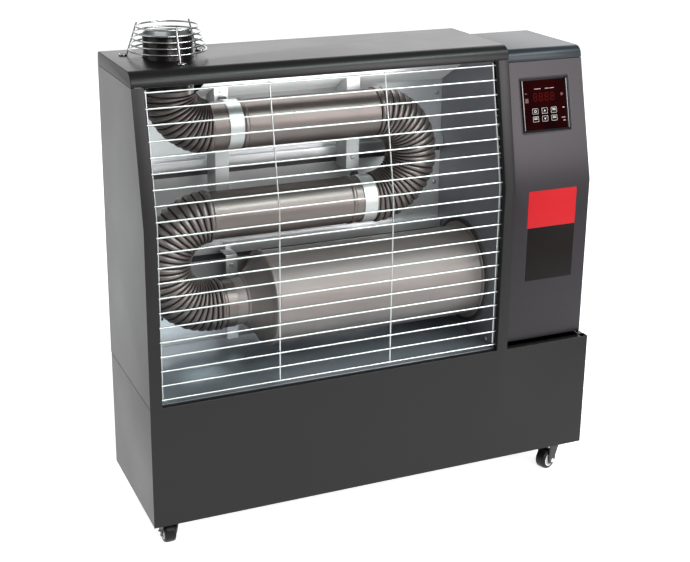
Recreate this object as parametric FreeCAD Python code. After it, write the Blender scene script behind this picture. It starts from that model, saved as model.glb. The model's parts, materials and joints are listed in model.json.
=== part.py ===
import FreeCAD, Part
import math
import os

# Infrared diesel heater: a sheet steel cabinet on casters with a pleated exhaust run behind a wire grille.
# Millimetres, +Z up, the front faces -Y; the origin lies on the floor under the middle of the heater.

V = FreeCAD.Vector

# Cabinet
width = 880.0
depth = 268.0
sheet = 1.2
seat_gap = 0.3
base_height = 228.0
straight_height = 320.0
slant_height = 227.0
slant_setback = 47.0
column_width = 22.0
column_return = 12.0
window_lip = 16.0
flange = 14.0
field_margin = 42.0

# Top cover over the heating side and lid over the control side
cover_height = 25.0
cover_front_radius = 22.0
cover_rear_radius = 8.0
lid_drop = 11.0
lid_height = 22.0

# Control side
control_width = 180.0
control_inset = 10.0
control_recess = 15.0
control_setback = 55.0
control_foot_gap = 7.0
bezel_width = 107.0
bezel_height = 104.0
bezel_rise = 95.0
bezel_radius = 4.0
glass_margin = 7.0
glass_depth = 4.0
panel_thickness = 3.0
key_width = 13.0
key_height = 11.0
key_thickness = 3.4
key_corner = 1.6
key_pitch_x = 20.0
key_pitch_z = 14.7
key_row_rise = 26.0
key_gap = 0.25
board_gap = 9.0
board_thickness = 1.6
standoff_radius = 3.0

# Heating side
divider_setback = 24.0
reflector_depth = 250.0
reflector_kick = 70.0
reflector_lean = 120.0
liner_gap = 10.0
rail_height = 20.0
rail_depth = 13.0
rail_offset = 60.0

# Wire grille
wire = 3.2
wire_weld = 0.5
grille_inset = 8.4
grille_rows = 21
grille_bars = 4
grille_bar_margin = 4.0
grille_foot_gap = 10.0
grille_head_gap = 10.0

# Exhaust run
pipe_depth = 145.0
pipe_radius = 43.0
pipe_wall = 1.5
pleat_height = 4.5
pleat_shoulder = 1.2
pleats_per_turn = 26
pleat_flank = 0.16
neck_pleats = 2
neck_pleat_pitch = 8.5
cuff = 7.0
elbow_cuff = 40.0
flue_from_left = 99.0
flue_elbow_radius = 61.0
flue_setback = 24.0
flue_stand_out = 42.0
flue_hole_gap = 1.5
chamber_rise = 117.0
chamber_radius = 87.0
chamber_from_left = 255.0
chamber_flange_radius = 95.0
chamber_flange_thickness = 5.0
chamber_shoulder = 12.0
chamber_rim_width = 9.0
chamber_rim_height = 2.0
neck_length = 37.0
lower_pitch = 169.0
upper_pitch = 163.0
left_bend_gap = 26.0
right_bend_gap = 72.0
bead_height = 2.0
bead_width = 8.5
upper_bead_gap = 2.0
middle_bead_gap = 14.0
clamp_width = 26.0
neck_clamp_width = 19.0
clamp_thickness = 1.6
clamp_lug_height = 12.0
clamp_lug_width = 14.0
clamp_lug_gap = 4.0
clamp_lug_turn = 45.0
clamp_bolt_radius = 2.4
clamp_margin = 4.0
bracket_thickness = 2.0
bracket_width = 22.0
neck_strap_drop = 97.0
neck_strap_rise = 70.0

# Flue guard
guard_rings = 5
guard_foot_radius = 70.0
guard_top_radius = 52.6
guard_height = 54.6
guard_ring_rise = 12.0
guard_tip = 5.0
guard_legs = 3
guard_leg_turn = 30.0
guard_wire = 3.0
guard_eye_radius = 5.0

# Screws
screw_head_radius = 4.5
screw_head_height = 2.6
screw_dome = 1.8
screw_margin = 11.0
foot_screw_inset = 42.0
foot_screw_rise = 8.0
side_screw_drop = 181.0

# Burner
burner_radius = 40.0
burner_reach = 36.0
burner_flange_radius = 62.0
burner_flange_thickness = 4.0
blower_radius = 76.0
blower_width = 58.0
blower_wall = 2.0
blower_spacing = 22.0
inlet_radius = 19.0
wheel_radius = 58.0
wheel_width = 34.0
wheel_blades = 16
blade_thickness = 1.5
blade_depth = 14.0
wheel_ring_depth = 9.8
wheel_hub_radius = 10.0
shaft_radius = 5.0
shaft_fit = 0.05
motor_radius = 38.0
motor_length = 62.0
motor_round = 6.3
pump_radius = 20.0
pump_length = 38.0
pump_drop = 62.0
pump_boss_radius = 10.0
pump_boss_length = 7.6
nozzle_radius = 8.0
diffuser_thickness = 2.0
diffuser_holes = 8
diffuser_hole_radius = 6.0
coil_width = 46.0
coil_depth = 62.0
coil_height = 54.0
coil_rise = 120.0
coil_tower_radius = 9.2
coil_tower_height = 19.0

# Fuel
tank_length = 600.0
tank_height = 190.0
tank_wall = 1.5
tank_corner = 18.0
tank_gap = 9.0
neck_radius = 24.0
neck_wall = 2.0
neck_stand_out = 14.0
neck_from_left = 520.0
neck_drop = 72.0
cap_radius = 31.0
cap_wall = 3.0
cap_grips = 12
cap_grip_radius = 2.5
line_radius = 4.0
line_bend = 24.0

# Rear
louvre_rows = 9
louvre_length = 110.0
louvre_slot = 6.0
louvre_pitch = 22.0
louvre_rise = 210.0
louvre_depth = 5.0
gland_radius = 11.0
gland_length = 16.0
gland_hole = 4.0
gland_thread_radius = 5.5
gland_dome_radius = 9.4
gland_tip_radius = 6.6
gland_rise = 40.0

# Casters
caster_height = 64.0
caster_inset = 40.0
caster_trail = 16.0
tyre_radius = 21.0
tyre_width = 22.0
tyre_corner = 5.0
rim_radius = 14.5
hub_lip = 3.0
hub_recess = 2.5
axle_radius = 3.0
axle_head_radius = 5.5
axle_head = 2.5
axle_head_top = 3.9
running_gap = 0.05
fork_gap = 1.2
fork_plate = 2.5
fork_radius = 8.5
crown_radius = 17.0
race_radius = 15.0
race_height = 5.0
kingpin_radius = 5.0
plate_size = 58.0
plate_thickness = 2.5
plate_corner = 6.0
front_left_turn = 90.0
front_right_turn = 200.0
rear_left_turn = 60.0
rear_right_turn = 120.0

# Levels and places worked out from the sizes above
cap_stand_out = neck_stand_out + cap_wall + seat_gap
front = -(depth + cap_stand_out) / 2
rear = front + depth
left = -width / 2
right = width / 2
z_base = caster_height
z_deck = z_base + base_height
z_bend = z_deck + straight_height
z_seam = z_bend + slant_height
z_top = z_seam + cover_height
z_lid = z_seam - lid_drop
z_control_bend = z_bend - lid_drop / 2
cover_end = right - control_width
control_right = right - control_inset
window_left = left + column_width
window_right = cover_end - column_width
divider_x = cover_end - divider_setback
pipe_y = front + pipe_depth
chamber_z = z_deck + chamber_rise
middle_z = chamber_z + lower_pitch
upper_z = middle_z + upper_pitch
flue_x = left + flue_from_left
flue_y = pipe_y + flue_setback
pleat_radius = pipe_radius + pleat_height
left_bend_x = left + left_bend_gap + pleat_radius + lower_pitch / 2
right_bend_x = divider_x - right_bend_gap - pleat_radius - upper_pitch / 2
left_joint_x = left_bend_x + cuff
right_joint_x = right_bend_x - cuff
upper_joint_x = flue_x + flue_elbow_radius + elbow_cuff
neck_joint_x = left_joint_x + neck_pleats * neck_pleat_pitch
cone_x = neck_joint_x + neck_length
clamp_overlap = cuff - clamp_margin
middle_clamp_x = right_joint_x + clamp_overlap - clamp_width
upper_clamp_x = upper_joint_x - clamp_width / 2
flue_joint_z = upper_z + flue_elbow_radius + cuff
rim_x = left + chamber_from_left
floor_z = z_deck + sheet
reflector_y = front + reflector_depth
rail_face_y = reflector_y - rail_depth
kick_z = z_seam - reflector_kick
lower_rail_z = chamber_z + rail_offset
upper_rail_z = middle_z + rail_offset
pipe_bore = pipe_radius - pipe_wall


def box(x0, y0, z0, x1, y1, z1):
    """Block between two corners."""
    return Part.makeBox(x1 - x0, y1 - y0, z1 - z0, V(x0, y0, z0))


def prism_x(points, x0, x1):
    """Profile of (y, z) points drawn out along X."""
    corners = [V(x0, y, z) for y, z in points]
    return Part.Face(Part.makePolygon(corners + corners[:1])).extrude(V(x1 - x0, 0, 0))


def rod_x(x0, x1, y, z, radius):
    """Round bar along X."""
    return Part.makeCylinder(radius, x1 - x0, V(x0, y, z), V(1, 0, 0))


def rod_y(x, y0, y1, z, radius):
    """Round bar along Y."""
    return Part.makeCylinder(radius, y1 - y0, V(x, y0, z), V(0, 1, 0))


def rod_z(x, y, z0, z1, radius):
    """Round bar along Z."""
    return Part.makeCylinder(radius, z1 - z0, V(x, y, z0))


def rod_between(start, end, radius):
    """Round bar between two points."""
    along = end.sub(start)
    return Part.makeCylinder(radius, along.Length, start, along)


def fused(shapes):
    """One solid out of pieces that overlap or share faces."""
    return shapes[0].multiFuse(shapes[1:]).removeSplitter()


def turned_x(points, y, z):
    """Solid of revolution about a line along X, from (x, radius) points."""
    corners = [V(x, y, z + radius) for x, radius in points]
    return Part.Face(Part.makePolygon(corners + corners[:1])).revolve(V(0, y, z), V(1, 0, 0), 360)


def rounded_bar(width_x, depth_y, height_z, corner, middle):
    """Block with rounded upright edges in the XZ outline, drawn out along +Y from its middle point."""
    half_x = width_x / 2
    half_z = height_z / 2
    block = box(-half_x, 0, -half_z, half_x, depth_y, half_z)
    upright = [e for e in block.Edges if abs(e.Vertexes[0].Y - e.Vertexes[-1].Y) > depth_y / 2]
    block = block.makeFillet(corner, upright)
    return block.translated(middle)


def front_y(z, inset):
    """Depth of the bent front sheet at a height, measured inset from its face."""
    return front + inset + max(0.0, z - z_bend) * slant_setback / slant_height


def control_y(z, inset):
    """Depth of the control side's bent front at a height, measured inset from its face."""
    rise = max(0.0, z - z_control_bend)
    return front + control_recess + inset + rise * control_setback / (z_lid - z_control_bend)


def bent_sheet(depth_at, z_kink, z0, z1, inset0, inset1, x0, x1):
    """Strip that follows a bent front between two insets, two heights and two ends."""
    levels = [z0, z_kink, z1]
    face = [(depth_at(z, inset0), z) for z in levels]
    back = [(depth_at(z, inset1), z) for z in reversed(levels)]
    return prism_x(face + back, x0, x1)


def front_strip(x0, x1, z0, z1, inset0, inset1):
    """Strip of the heating side's front."""
    return bent_sheet(front_y, z_bend, z0, z1, inset0, inset1, x0, x1)


def control_strip(x0, x1, z0, z1, inset0, inset1):
    """Strip of the control side's front."""
    return bent_sheet(control_y, z_control_bend, z0, z1, inset0, inset1, x0, x1)


def on_control_slant(shape):
    """Lean a piece drawn upright at the origin on to the control side's slanted front."""
    lean = math.degrees(math.atan2(control_setback, z_lid - z_control_bend))
    leaned = shape.copy()
    leaned.rotate(V(0, 0, 0), V(1, 0, 0), -lean)
    leaned.translate(V((cover_end + control_right) / 2, control_y(z_control_bend, 0), z_control_bend))
    return leaned


def front_panel():
    """Base front and both window columns, bent from one sheet, with returns round the window."""
    pieces = [
        box(left, front, z_base, right, front + sheet, z_deck),
        front_strip(left, window_left, z_deck, z_seam, 0, sheet),
        front_strip(window_right, cover_end, z_deck, z_seam, 0, sheet),
        front_strip(window_left - sheet, window_left, z_deck, z_seam, 0, column_return),
        front_strip(window_right, window_right + sheet, z_deck, z_seam, 0, column_return),
        box(window_left - sheet, front, z_deck - sheet, window_right + sheet, front + window_lip, z_deck),
    ]
    step = control_recess + control_setback - slant_setback + sheet
    pieces.append(front_strip(cover_end - sheet, cover_end, z_deck, z_seam, 0, step))
    rail_y = front_y(z_seam, 0)
    pieces.append(box(window_left - sheet, rail_y, z_seam - sheet,
                      window_right + sheet, rail_y + window_lip, z_seam))
    return fused(pieces)


def base_tray():
    """Folded lower box: floor, three walls, top flanges and the deck under the control side."""
    y0 = front + sheet
    shell = box(left, y0, z_base, right, rear, z_deck)
    shell = shell.cut(box(left + sheet, y0, z_base + sheet, right - sheet, rear - sheet, z_deck - sheet))
    opening = box(left + flange, y0, z_deck - sheet, cover_end, rear - flange, z_deck)
    service = box(cover_end + flange, pipe_y - pipe_radius, z_deck - sheet,
                  control_right - flange, rear - flange, z_deck)
    shell = shell.cut(opening).cut(service)
    filler = rod_y(left + neck_from_left, rear - sheet, rear, z_deck - neck_drop, neck_radius + seat_gap)
    return shell.cut(filler)


def left_side_panel():
    """Side sheet with the front's bend, and a rear flange."""
    outline = [(front_y(z_deck, sheet), z_deck), (front_y(z_bend, sheet), z_bend),
               (front_y(z_seam, sheet), z_seam), (rear, z_seam), (rear, z_deck)]
    plate = prism_x(outline, left, left + sheet)
    return fused([plate, box(left, rear - sheet, z_deck, left + flange, rear, z_seam)])


def right_side_panel():
    """Side sheet of the control side, with a rear flange."""
    outline = [(control_y(z_deck, sheet), z_deck), (control_y(z_control_bend, sheet), z_control_bend),
               (control_y(z_lid, sheet), z_lid), (rear, z_lid), (rear, z_deck)]
    plate = prism_x(outline, control_right - sheet, control_right)
    return fused([plate, box(control_right - flange, rear - sheet, z_deck, control_right, rear, z_lid)])


def rear_panel():
    """Plain rear sheet of the heating side, with a pressed stiffening field."""
    split = divider_x + sheet
    x0 = left + field_margin
    x1 = split - field_margin
    z0 = z_deck + field_margin
    z1 = z_seam - field_margin
    plate = box(left, rear, z_deck, split, rear + sheet, z_seam)
    field = box(x0, rear, z0, x1, rear + sheet, z1)
    pan = box(x0 - sheet, rear - sheet, z0 - sheet, x1 + sheet, rear, z1 + sheet)
    return fused([plate.cut(field), pan])


def burner_cover():
    """Rear sheet of the control side, with hooded louvres and the cable entry."""
    split = divider_x + sheet + seat_gap
    plate = box(split, rear, z_deck, control_right, rear + sheet, z_lid)
    middle = (split + control_right) / 2
    hoods = []
    slots = []
    for row in range(louvre_rows):
        z = z_deck + louvre_rise + row * louvre_pitch
        profile = [(rear + sheet, z), (rear + louvre_depth, z), (rear + sheet, z + 2 * louvre_slot)]
        hoods.append(prism_x(profile, middle - louvre_length / 2, middle + louvre_length / 2))
        cavity = [(rear, z - sheet), (rear + louvre_depth - sheet, z - sheet),
                  (rear, z + 2 * louvre_slot - sheet)]
        slots.append(prism_x(cavity, middle - louvre_length / 2 + sheet, middle + louvre_length / 2 - sheet))
    body = fused([plate] + hoods)
    body = body.cut(Part.makeCompound(slots))
    return body.cut(rod_y(middle, rear, rear + sheet, z_deck + gland_rise, gland_thread_radius))


def cap_shell(x0, x1, y0, y1, z0, height, front_round, rear_round):
    """Open-bottomed cap: an outline with a large front and a small rear round, drawn along X and hollowed."""
    def block(a0, a1, b0, b1, top, front_r, rear_r):
        solid = box(a0, b0, z0, a1, b1, top)
        edges = {True: [], False: []}
        for edge in solid.Edges:
            ends = [v.Point for v in edge.Vertexes]
            if all(abs(p.z - top) < 1e-6 for p in ends) and abs(ends[0].x - ends[1].x) > 1:
                edges[abs(ends[0].y - b0) < 1e-6].append(edge)
        solid = solid.makeFillet(front_r, edges[True])
        rear_edges = [e for e in solid.Edges if len(e.Vertexes) == 2
                      and all(abs(v.Z - top) < 1e-6 and abs(v.Y - b1) < 1e-6 for v in e.Vertexes)]
        return solid.makeFillet(rear_r, rear_edges)

    top = z0 + height
    outer = block(x0, x1, y0, y1, top, front_round, rear_round)
    inner = block(x0 + sheet, x1 - sheet, y0 + sheet, y1 - sheet, top - sheet,
                  front_round - sheet, rear_round - sheet)
    return outer.cut(inner)


def top_cover():
    """Rounded cap over the heating side with the flue hole."""
    shell = cap_shell(left, cover_end, front_y(z_seam, 0), rear + sheet, z_seam, cover_height,
                      cover_front_radius, cover_rear_radius)
    return shell.cut(rod_z(flue_x, flue_y, z_seam, z_top, pipe_radius + flue_hole_gap))


def control_lid():
    """Lower rounded cap over the control side."""
    return cap_shell(cover_end + seat_gap, control_right, control_y(z_lid, 0), rear + sheet, z_lid,
                     lid_height, lid_height - sheet, cover_rear_radius)


def bezel_opening(shrink, depth0, depth1):
    """Rounded block over the display opening, upright at the origin, between two depths from the face."""
    middle = V(0, depth0, bezel_rise + bezel_height / 2)
    width_in = bezel_width - 2 * shrink
    height_in = bezel_height - 2 * shrink
    return rounded_bar(width_in, depth1 - depth0, height_in, bezel_radius, middle)


def control_front():
    """Bent front sheet of the control side with the display opening and a left return."""
    z0 = z_deck + control_foot_gap
    face = control_strip(cover_end + seat_gap, control_right, z0, z_lid, 0, sheet)
    inner = control_strip(cover_end + seat_gap, cover_end + seat_gap + sheet, z0, z_lid, 0, column_return)
    foot = box(cover_end + seat_gap, control_y(z0, 0), z0,
               control_right - sheet, control_y(z0, column_return), z0 + sheet)
    body = fused([face, inner, foot])
    return body.cut(on_control_slant(bezel_opening(0, -sheet, glass_depth)))


def key_places():
    """Middle of each key in the display opening, left to right, top row first."""
    low = bezel_rise + key_row_rise
    return [V(column * key_pitch_x, 0, low + row * key_pitch_z) for row in (1, 0) for column in (-1, 0, 1)]


def display_panel():
    """Bezel tray set in the opening: a frame, a recessed window plate with key holes and four board posts."""
    back = glass_depth + panel_thickness
    body = bezel_opening(seat_gap, 0, back)
    recess = bezel_opening(glass_margin, 0, glass_depth)
    body = body.cut(recess)
    for place in key_places():
        hole = rounded_bar(key_width + 2 * key_gap, 2 * back, key_height + 2 * key_gap,
                           key_corner + key_gap, place)
        body = body.cut(hole)
    posts = []
    reach_x = bezel_width / 2 - 2 * glass_margin
    reach_z = bezel_height / 2 - 2 * glass_margin
    for side in (-1, 1):
        for end in (-1, 1):
            z = bezel_rise + bezel_height / 2 + end * reach_z
            posts.append(rod_y(side * reach_x, back, back + board_gap, z, standoff_radius))
    return on_control_slant(fused([body] + posts))


def control_key(place):
    """Key cap standing a little proud of the window plate."""
    cap = rounded_bar(key_width, key_thickness, key_height, key_corner,
                      V(place.x, glass_depth + panel_thickness - key_thickness, place.z))
    return on_control_slant(cap)


def control_board():
    """Circuit board on the panel's posts."""
    y0 = glass_depth + panel_thickness + board_gap
    board = bezel_opening(glass_margin, y0, y0 + board_thickness)
    return on_control_slant(board)


def divider_wall():
    """Wall between heating and control side, with the burner opening."""
    inset = column_return + seat_gap
    head_z = z_seam - sheet
    outline = [(front_y(z_deck, inset), z_deck), (front_y(z_bend, inset), z_bend),
               (front_y(z_seam, window_lip + seat_gap), head_z), (rear, head_z), (rear, z_deck)]
    plate = prism_x(outline, divider_x, divider_x + sheet)
    return plate.cut(rod_x(divider_x, divider_x + sheet, pipe_y, chamber_z, burner_radius + seat_gap))


def chamber_floor():
    """Bright floor sheet under the exhaust run, lying on the base flanges."""
    return box(left + sheet + seat_gap, front + column_return + seat_gap, z_deck,
               divider_x - seat_gap, rear - sheet - seat_gap, floor_z)


def reflector():
    """Bright back sheet with two bracket rails, a sloping top and a folded left return."""
    lean_y = reflector_y - reflector_lean
    head_z = z_seam - 2 * sheet
    back = [(reflector_y, floor_z), (reflector_y, kick_z), (lean_y, head_z), (lean_y + 2 * sheet, head_z),
            (reflector_y + sheet, kick_z + sheet), (reflector_y + sheet, floor_z)]
    x0 = left + liner_gap
    sheet_back = prism_x(back, x0, divider_x - seat_gap)
    inset = column_return + seat_gap
    side = [(front_y(floor_z, inset), floor_z), (front_y(z_bend, inset), z_bend),
            (front_y(z_seam, window_lip + seat_gap), head_z), (lean_y, head_z), (reflector_y, kick_z),
            (reflector_y, floor_z)]
    pieces = [sheet_back, prism_x(side, x0, x0 + sheet)]
    face = rail_face_y
    for z, start in ((lower_rail_z, cone_x), (upper_rail_z, x0)):
        top = z + rail_height
        channel = [(face, z), (face, top), (reflector_y, top), (reflector_y, top - sheet),
                   (face + sheet, top - sheet), (face + sheet, z + sheet), (reflector_y, z + sheet),
                   (reflector_y, z)]
        pieces.append(prism_x(channel, start, divider_x - seat_gap))
    return fused(pieces).cut(rod_z(flue_x, flue_y, upper_z, z_seam, pleat_radius + flue_hole_gap))


def guard_grille():
    """Welded grille: level wires in front of four bent uprights, held between the window returns."""
    x0 = window_left + seat_gap
    x1 = window_right - seat_gap
    row_y = grille_inset + wire / 2
    bar_y = row_y + wire - wire_weld
    z0 = z_deck + grille_foot_gap
    z1 = z_seam - grille_head_gap
    bend_part = z_bend - z0
    slant_part = math.hypot(z1 - z_bend, front_y(z1, 0) - front)
    wires = []
    for row in range(grille_rows):
        run = (bend_part + slant_part) * row / (grille_rows - 1)
        z = z0 + run
        if run > bend_part:
            z = z_bend + (run - bend_part) * (z1 - z_bend) / slant_part
        wires.append(rod_x(x0, x1, front_y(z, row_y), z, wire / 2))
    first = x0 + grille_bar_margin
    step = (x1 - x0 - 2 * grille_bar_margin) / (grille_bars - 1)
    tail = wire
    for bar in range(grille_bars):
        x = first + bar * step
        low = V(x, front + bar_y, z0 - tail)
        knee = V(x, front + bar_y, z_bend)
        head = V(x, front_y(z1 + tail, bar_y), z1 + tail)
        wires += [rod_between(low, knee, wire / 2), rod_between(knee, head, wire / 2),
                  Part.makeSphere(wire / 2, knee)]
    return fused(wires)


def sway_at(share, sway):
    """Sideways shift along a bend: all of it at the foot, easing to none at the head."""
    return sway * (1.0 - share * share * (3.0 - 2.0 * share))


def bend_rings(stations, bend_radius, step, count, sway):
    """Section circles of a bend about Y, from +X towards +Z, one for each (pleat, radius) station."""
    rings = []
    for place, radius in stations:
        turned = min(place, count)
        lead = (place - turned) * neck_pleat_pitch
        middle = V(bend_radius, sway_at(turned / count, sway), lead)
        ring = Part.Wire(Part.makeCircle(radius, middle, V(0, 0, 1)))
        ring.rotate(V(0, 0, 0), V(0, 1, 0), -step * turned)
        rings.append(ring)
    return rings


def pleated_bend(bend_radius, turn, count, end_cuff, straight_count, sway):
    """Pleated pipe bend about the Y axis with plain cuffs, bored right through."""
    step = turn / count
    shoulder = pleat_radius - pleat_shoulder
    fold = [(0.0, pipe_radius), (pleat_flank, shoulder), (0.5, pleat_radius), (1.0 - pleat_flank, shoulder)]
    stations = [(pleat + share, radius) for pleat in range(count + straight_count) for share, radius in fold]
    stations.append((count + straight_count, pipe_radius))
    body = Part.makeLoft(bend_rings(stations, bend_radius, step, count, sway), True, True)
    end = math.radians(turn)
    end_length = end_cuff + straight_count * neck_pleat_pitch
    foot = V(bend_radius, sway, 0)
    head = V(bend_radius * math.cos(end), 0, bend_radius * math.sin(end))
    head_way = V(-math.sin(end), 0, math.cos(end))
    body = fused([body, Part.makeCylinder(pipe_radius, cuff, foot, V(0, 0, -1)),
                  Part.makeCylinder(pipe_radius, end_length, head, head_way)])
    if sway:
        bore_stations = [(pleat, pipe_bore) for pleat in range(count + 1)]
        bore = Part.makeLoft(bend_rings(bore_stations, bend_radius, step, count, sway), True, True)
    else:
        section = Part.Face(Part.Wire(Part.makeCircle(pipe_bore, foot, V(0, 0, 1))))
        bore = section.revolve(V(0, 0, 0), V(0, -1, 0), turn)
    bores = [bore, Part.makeCylinder(pipe_bore, cuff, foot, V(0, 0, -1)),
             Part.makeCylinder(pipe_bore, end_length, head, head_way)]
    for hole in bores:
        body = body.cut(hole)
    return body


def placed_bend(body, turn_about_y, x, z):
    """Turn a bend about Y and set its bend axis in the pipe plane."""
    body.rotate(V(0, 0, 0), V(0, 1, 0), turn_about_y)
    body.translate(V(x, pipe_y, z))
    return body


def left_bend():
    """Half turn from the middle tube down to the chamber neck, with straight pleats at the neck."""
    body = pleated_bend(lower_pitch / 2, 180.0, pleats_per_turn, cuff, neck_pleats, 0.0)
    return placed_bend(body, -90.0, left_bend_x, (chamber_z + middle_z) / 2)


def right_bend():
    """Half turn from the middle tube up to the upper tube."""
    body = pleated_bend(upper_pitch / 2, 180.0, pleats_per_turn, cuff, 0, 0.0)
    return placed_bend(body, 90.0, right_bend_x, (middle_z + upper_z) / 2)


def flue_elbow():
    """Quarter turn from the upper tube up and back to the flue outlet."""
    count = pleats_per_turn // 2
    body = pleated_bend(flue_elbow_radius, 90.0, count, elbow_cuff, 0, flue_setback)
    return placed_bend(body, 180.0, flue_x + flue_elbow_radius, upper_z + flue_elbow_radius)


def pipe(x0, x1, z, bead_x):
    """Straight exhaust tube with a rolled bead that starts at bead_x."""
    crest = pipe_radius + bead_height
    flank = bead_width / 4
    profile = [(bead_x, pipe_bore), (bead_x, pipe_radius), (bead_x + flank, crest),
               (bead_x + bead_width - flank, crest), (bead_x + bead_width, pipe_radius),
               (bead_x + bead_width, pipe_bore)]
    body = rod_x(x0, x1, pipe_y, z, pipe_radius).fuse(turned_x(profile, pipe_y, z))
    return body.removeSplitter().cut(rod_x(x0, x1, pipe_y, z, pipe_bore))


def middle_tube():
    """Tube between the two half turns."""
    return pipe(left_joint_x, right_joint_x, middle_z, middle_clamp_x - middle_bead_gap - bead_width)


def upper_tube():
    """Tube between the right half turn and the flue elbow."""
    return pipe(upper_joint_x, right_joint_x, upper_z, upper_clamp_x + clamp_width + upper_bead_gap)


def flue_outlet():
    """Exhaust pipe from the elbow through the top cover."""
    z1 = z_top + flue_stand_out
    tube = rod_z(flue_x, flue_y, flue_joint_z, z1, pipe_radius)
    return tube.cut(rod_z(flue_x, flue_y, flue_joint_z, z1, pipe_bore))


def cone_radius(x):
    """Outside radius of the drum's coned end at a place along X."""
    rise = chamber_radius - chamber_shoulder - pipe_radius
    return pipe_radius + rise * (x - cone_x) / (rim_x - chamber_shoulder / 2 - cone_x)


def combustion_chamber():
    """Drum with a coned neck at the left, a rolled rim and a bolting flange at the divider."""
    shoulder_x = rim_x - chamber_shoulder / 2
    shoulder_radius = chamber_radius - chamber_shoulder
    rim_radius_out = chamber_radius + chamber_rim_height
    plate_x = divider_x - chamber_flange_thickness
    bore = burner_radius + seat_gap
    outer = [(neck_joint_x, pipe_radius), (cone_x, pipe_radius), (shoulder_x, shoulder_radius),
             (rim_x, rim_radius_out), (rim_x + chamber_rim_width, rim_radius_out),
             (rim_x + chamber_rim_width, chamber_radius), (plate_x, chamber_radius),
             (plate_x, chamber_flange_radius), (divider_x, chamber_flange_radius), (divider_x, bore)]
    inside = chamber_radius - pipe_wall
    inner = [(plate_x, bore), (plate_x, inside), (rim_x + pipe_wall, inside),
             (shoulder_x + pipe_wall, shoulder_radius), (cone_x + pipe_wall, pipe_bore),
             (neck_joint_x, pipe_bore)]
    return turned_x(outer + inner, pipe_y, chamber_z)


def band_clamp(x0, band_width, z):
    """Band round a pipe joint, starting at x0, with a split bolted lug turned towards the back."""
    inner = pipe_radius + seat_gap
    outer = inner + clamp_thickness
    x1 = x0 + band_width
    x = (x0 + x1) / 2
    lug_top = z + outer + clamp_lug_height
    half_gap = clamp_lug_gap / 2
    half_lug = half_gap + clamp_thickness
    reach = half_lug + clamp_thickness
    lug = box(x - clamp_lug_width / 2, pipe_y - half_lug, z + pipe_radius,
              x + clamp_lug_width / 2, pipe_y + half_lug, lug_top)
    split = box(x0, pipe_y - half_gap, z, x1, pipe_y + half_gap, lug_top)
    body = fused([rod_x(x0, x1, pipe_y, z, outer), lug]).cut(rod_x(x0, x1, pipe_y, z, inner)).cut(split)
    bolt = rod_y(x, pipe_y - reach, pipe_y + reach, z + outer + clamp_lug_height / 2, clamp_bolt_radius)
    body = fused([body, bolt])
    body.rotate(V(0, pipe_y, z), V(1, 0, 0), -clamp_lug_turn)
    return body


def pipe_clamps():
    """Band clamps at the three pipe joints, each lying on the plain cuff and the tube end."""
    return Part.makeCompound([band_clamp(upper_clamp_x, clamp_width, upper_z),
                              band_clamp(middle_clamp_x, clamp_width, middle_z),
                              band_clamp(neck_joint_x - clamp_overlap, neck_clamp_width, chamber_z)])


def support_angle(x0, z_low):
    """Upright angle on the upper rail: a plate behind a band clamp, and a side wall cut under the slope."""
    def under_slope(y):
        """Height just under the reflector's slope at a depth."""
        fall = (reflector_kick - 2 * sheet) / reflector_lean
        return kick_z + (reflector_y - y) * fall - seat_gap

    x1 = x0 + clamp_width
    y0 = pipe_y + pipe_radius + clamp_thickness + 2 * seat_gap
    y1 = y0 + bracket_thickness
    plate = box(x0, y0, z_low, x1, y1, under_slope(y1))
    wall = prism_x([(y0, z_low), (rail_face_y, z_low), (rail_face_y, under_slope(rail_face_y)),
                    (y0, under_slope(y0))], x0, x0 + bracket_thickness)
    return fused([plate, wall])


def neck_strap():
    """Upright strap behind the drum's neck with an arm to the lower rail."""
    x0 = cone_x - bracket_width / 2
    x1 = cone_x + bracket_width / 2
    y0 = pipe_y + cone_radius(x1) + 2 * seat_gap
    top = chamber_z + neck_strap_rise
    plate = box(x0, y0, chamber_z - neck_strap_drop, x1, y0 + bracket_thickness, top)
    arm = box(x0, y0, top - bracket_thickness, x1, rail_face_y, top)
    return fused([plate, arm])


def support_brackets():
    """Angles behind the two upper band clamps and the strap behind the drum's neck."""
    over_clamp = middle_z + pipe_radius + clamp_thickness + 2 * seat_gap
    return Part.makeCompound([support_angle(upper_clamp_x, middle_z + pipe_radius / 2),
                              support_angle(middle_clamp_x, over_clamp),
                              neck_strap()])


def flue_guard():
    """Coned wire cage round the outlet: level rings on leaning legs with looped feet."""
    wires = []
    z0 = z_top + guard_wire / 2
    rise = guard_height - guard_wire
    for ring in range(guard_rings):
        share = (guard_ring_rise + (rise - guard_ring_rise) * ring / (guard_rings - 1)) / rise
        radius = guard_foot_radius + (guard_top_radius - guard_foot_radius) * share
        wires.append(Part.makeTorus(radius, guard_wire / 2, V(flue_x, flue_y, z0 + rise * share)))
    lean = (guard_top_radius - guard_foot_radius) / rise
    offset = guard_wire - wire_weld
    for leg in range(guard_legs):
        angle = math.radians(guard_leg_turn + leg * 360.0 / guard_legs)
        out = V(math.cos(angle), math.sin(angle), 0)
        axis = V(flue_x, flue_y, 0)
        foot = axis + out * (guard_foot_radius + offset) + V(0, 0, z0)
        tip_rise = rise + guard_tip
        tip = axis + out * (guard_foot_radius + offset + lean * tip_rise) + V(0, 0, z0 + tip_rise)
        eye = foot + out * (guard_eye_radius + guard_wire / 2)
        wires += [rod_between(foot, tip, guard_wire / 2), Part.makeSphere(guard_wire / 2, foot),
                  Part.makeTorus(guard_eye_radius + guard_wire / 2, guard_wire / 2, eye)]
    return fused(wires)


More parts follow.
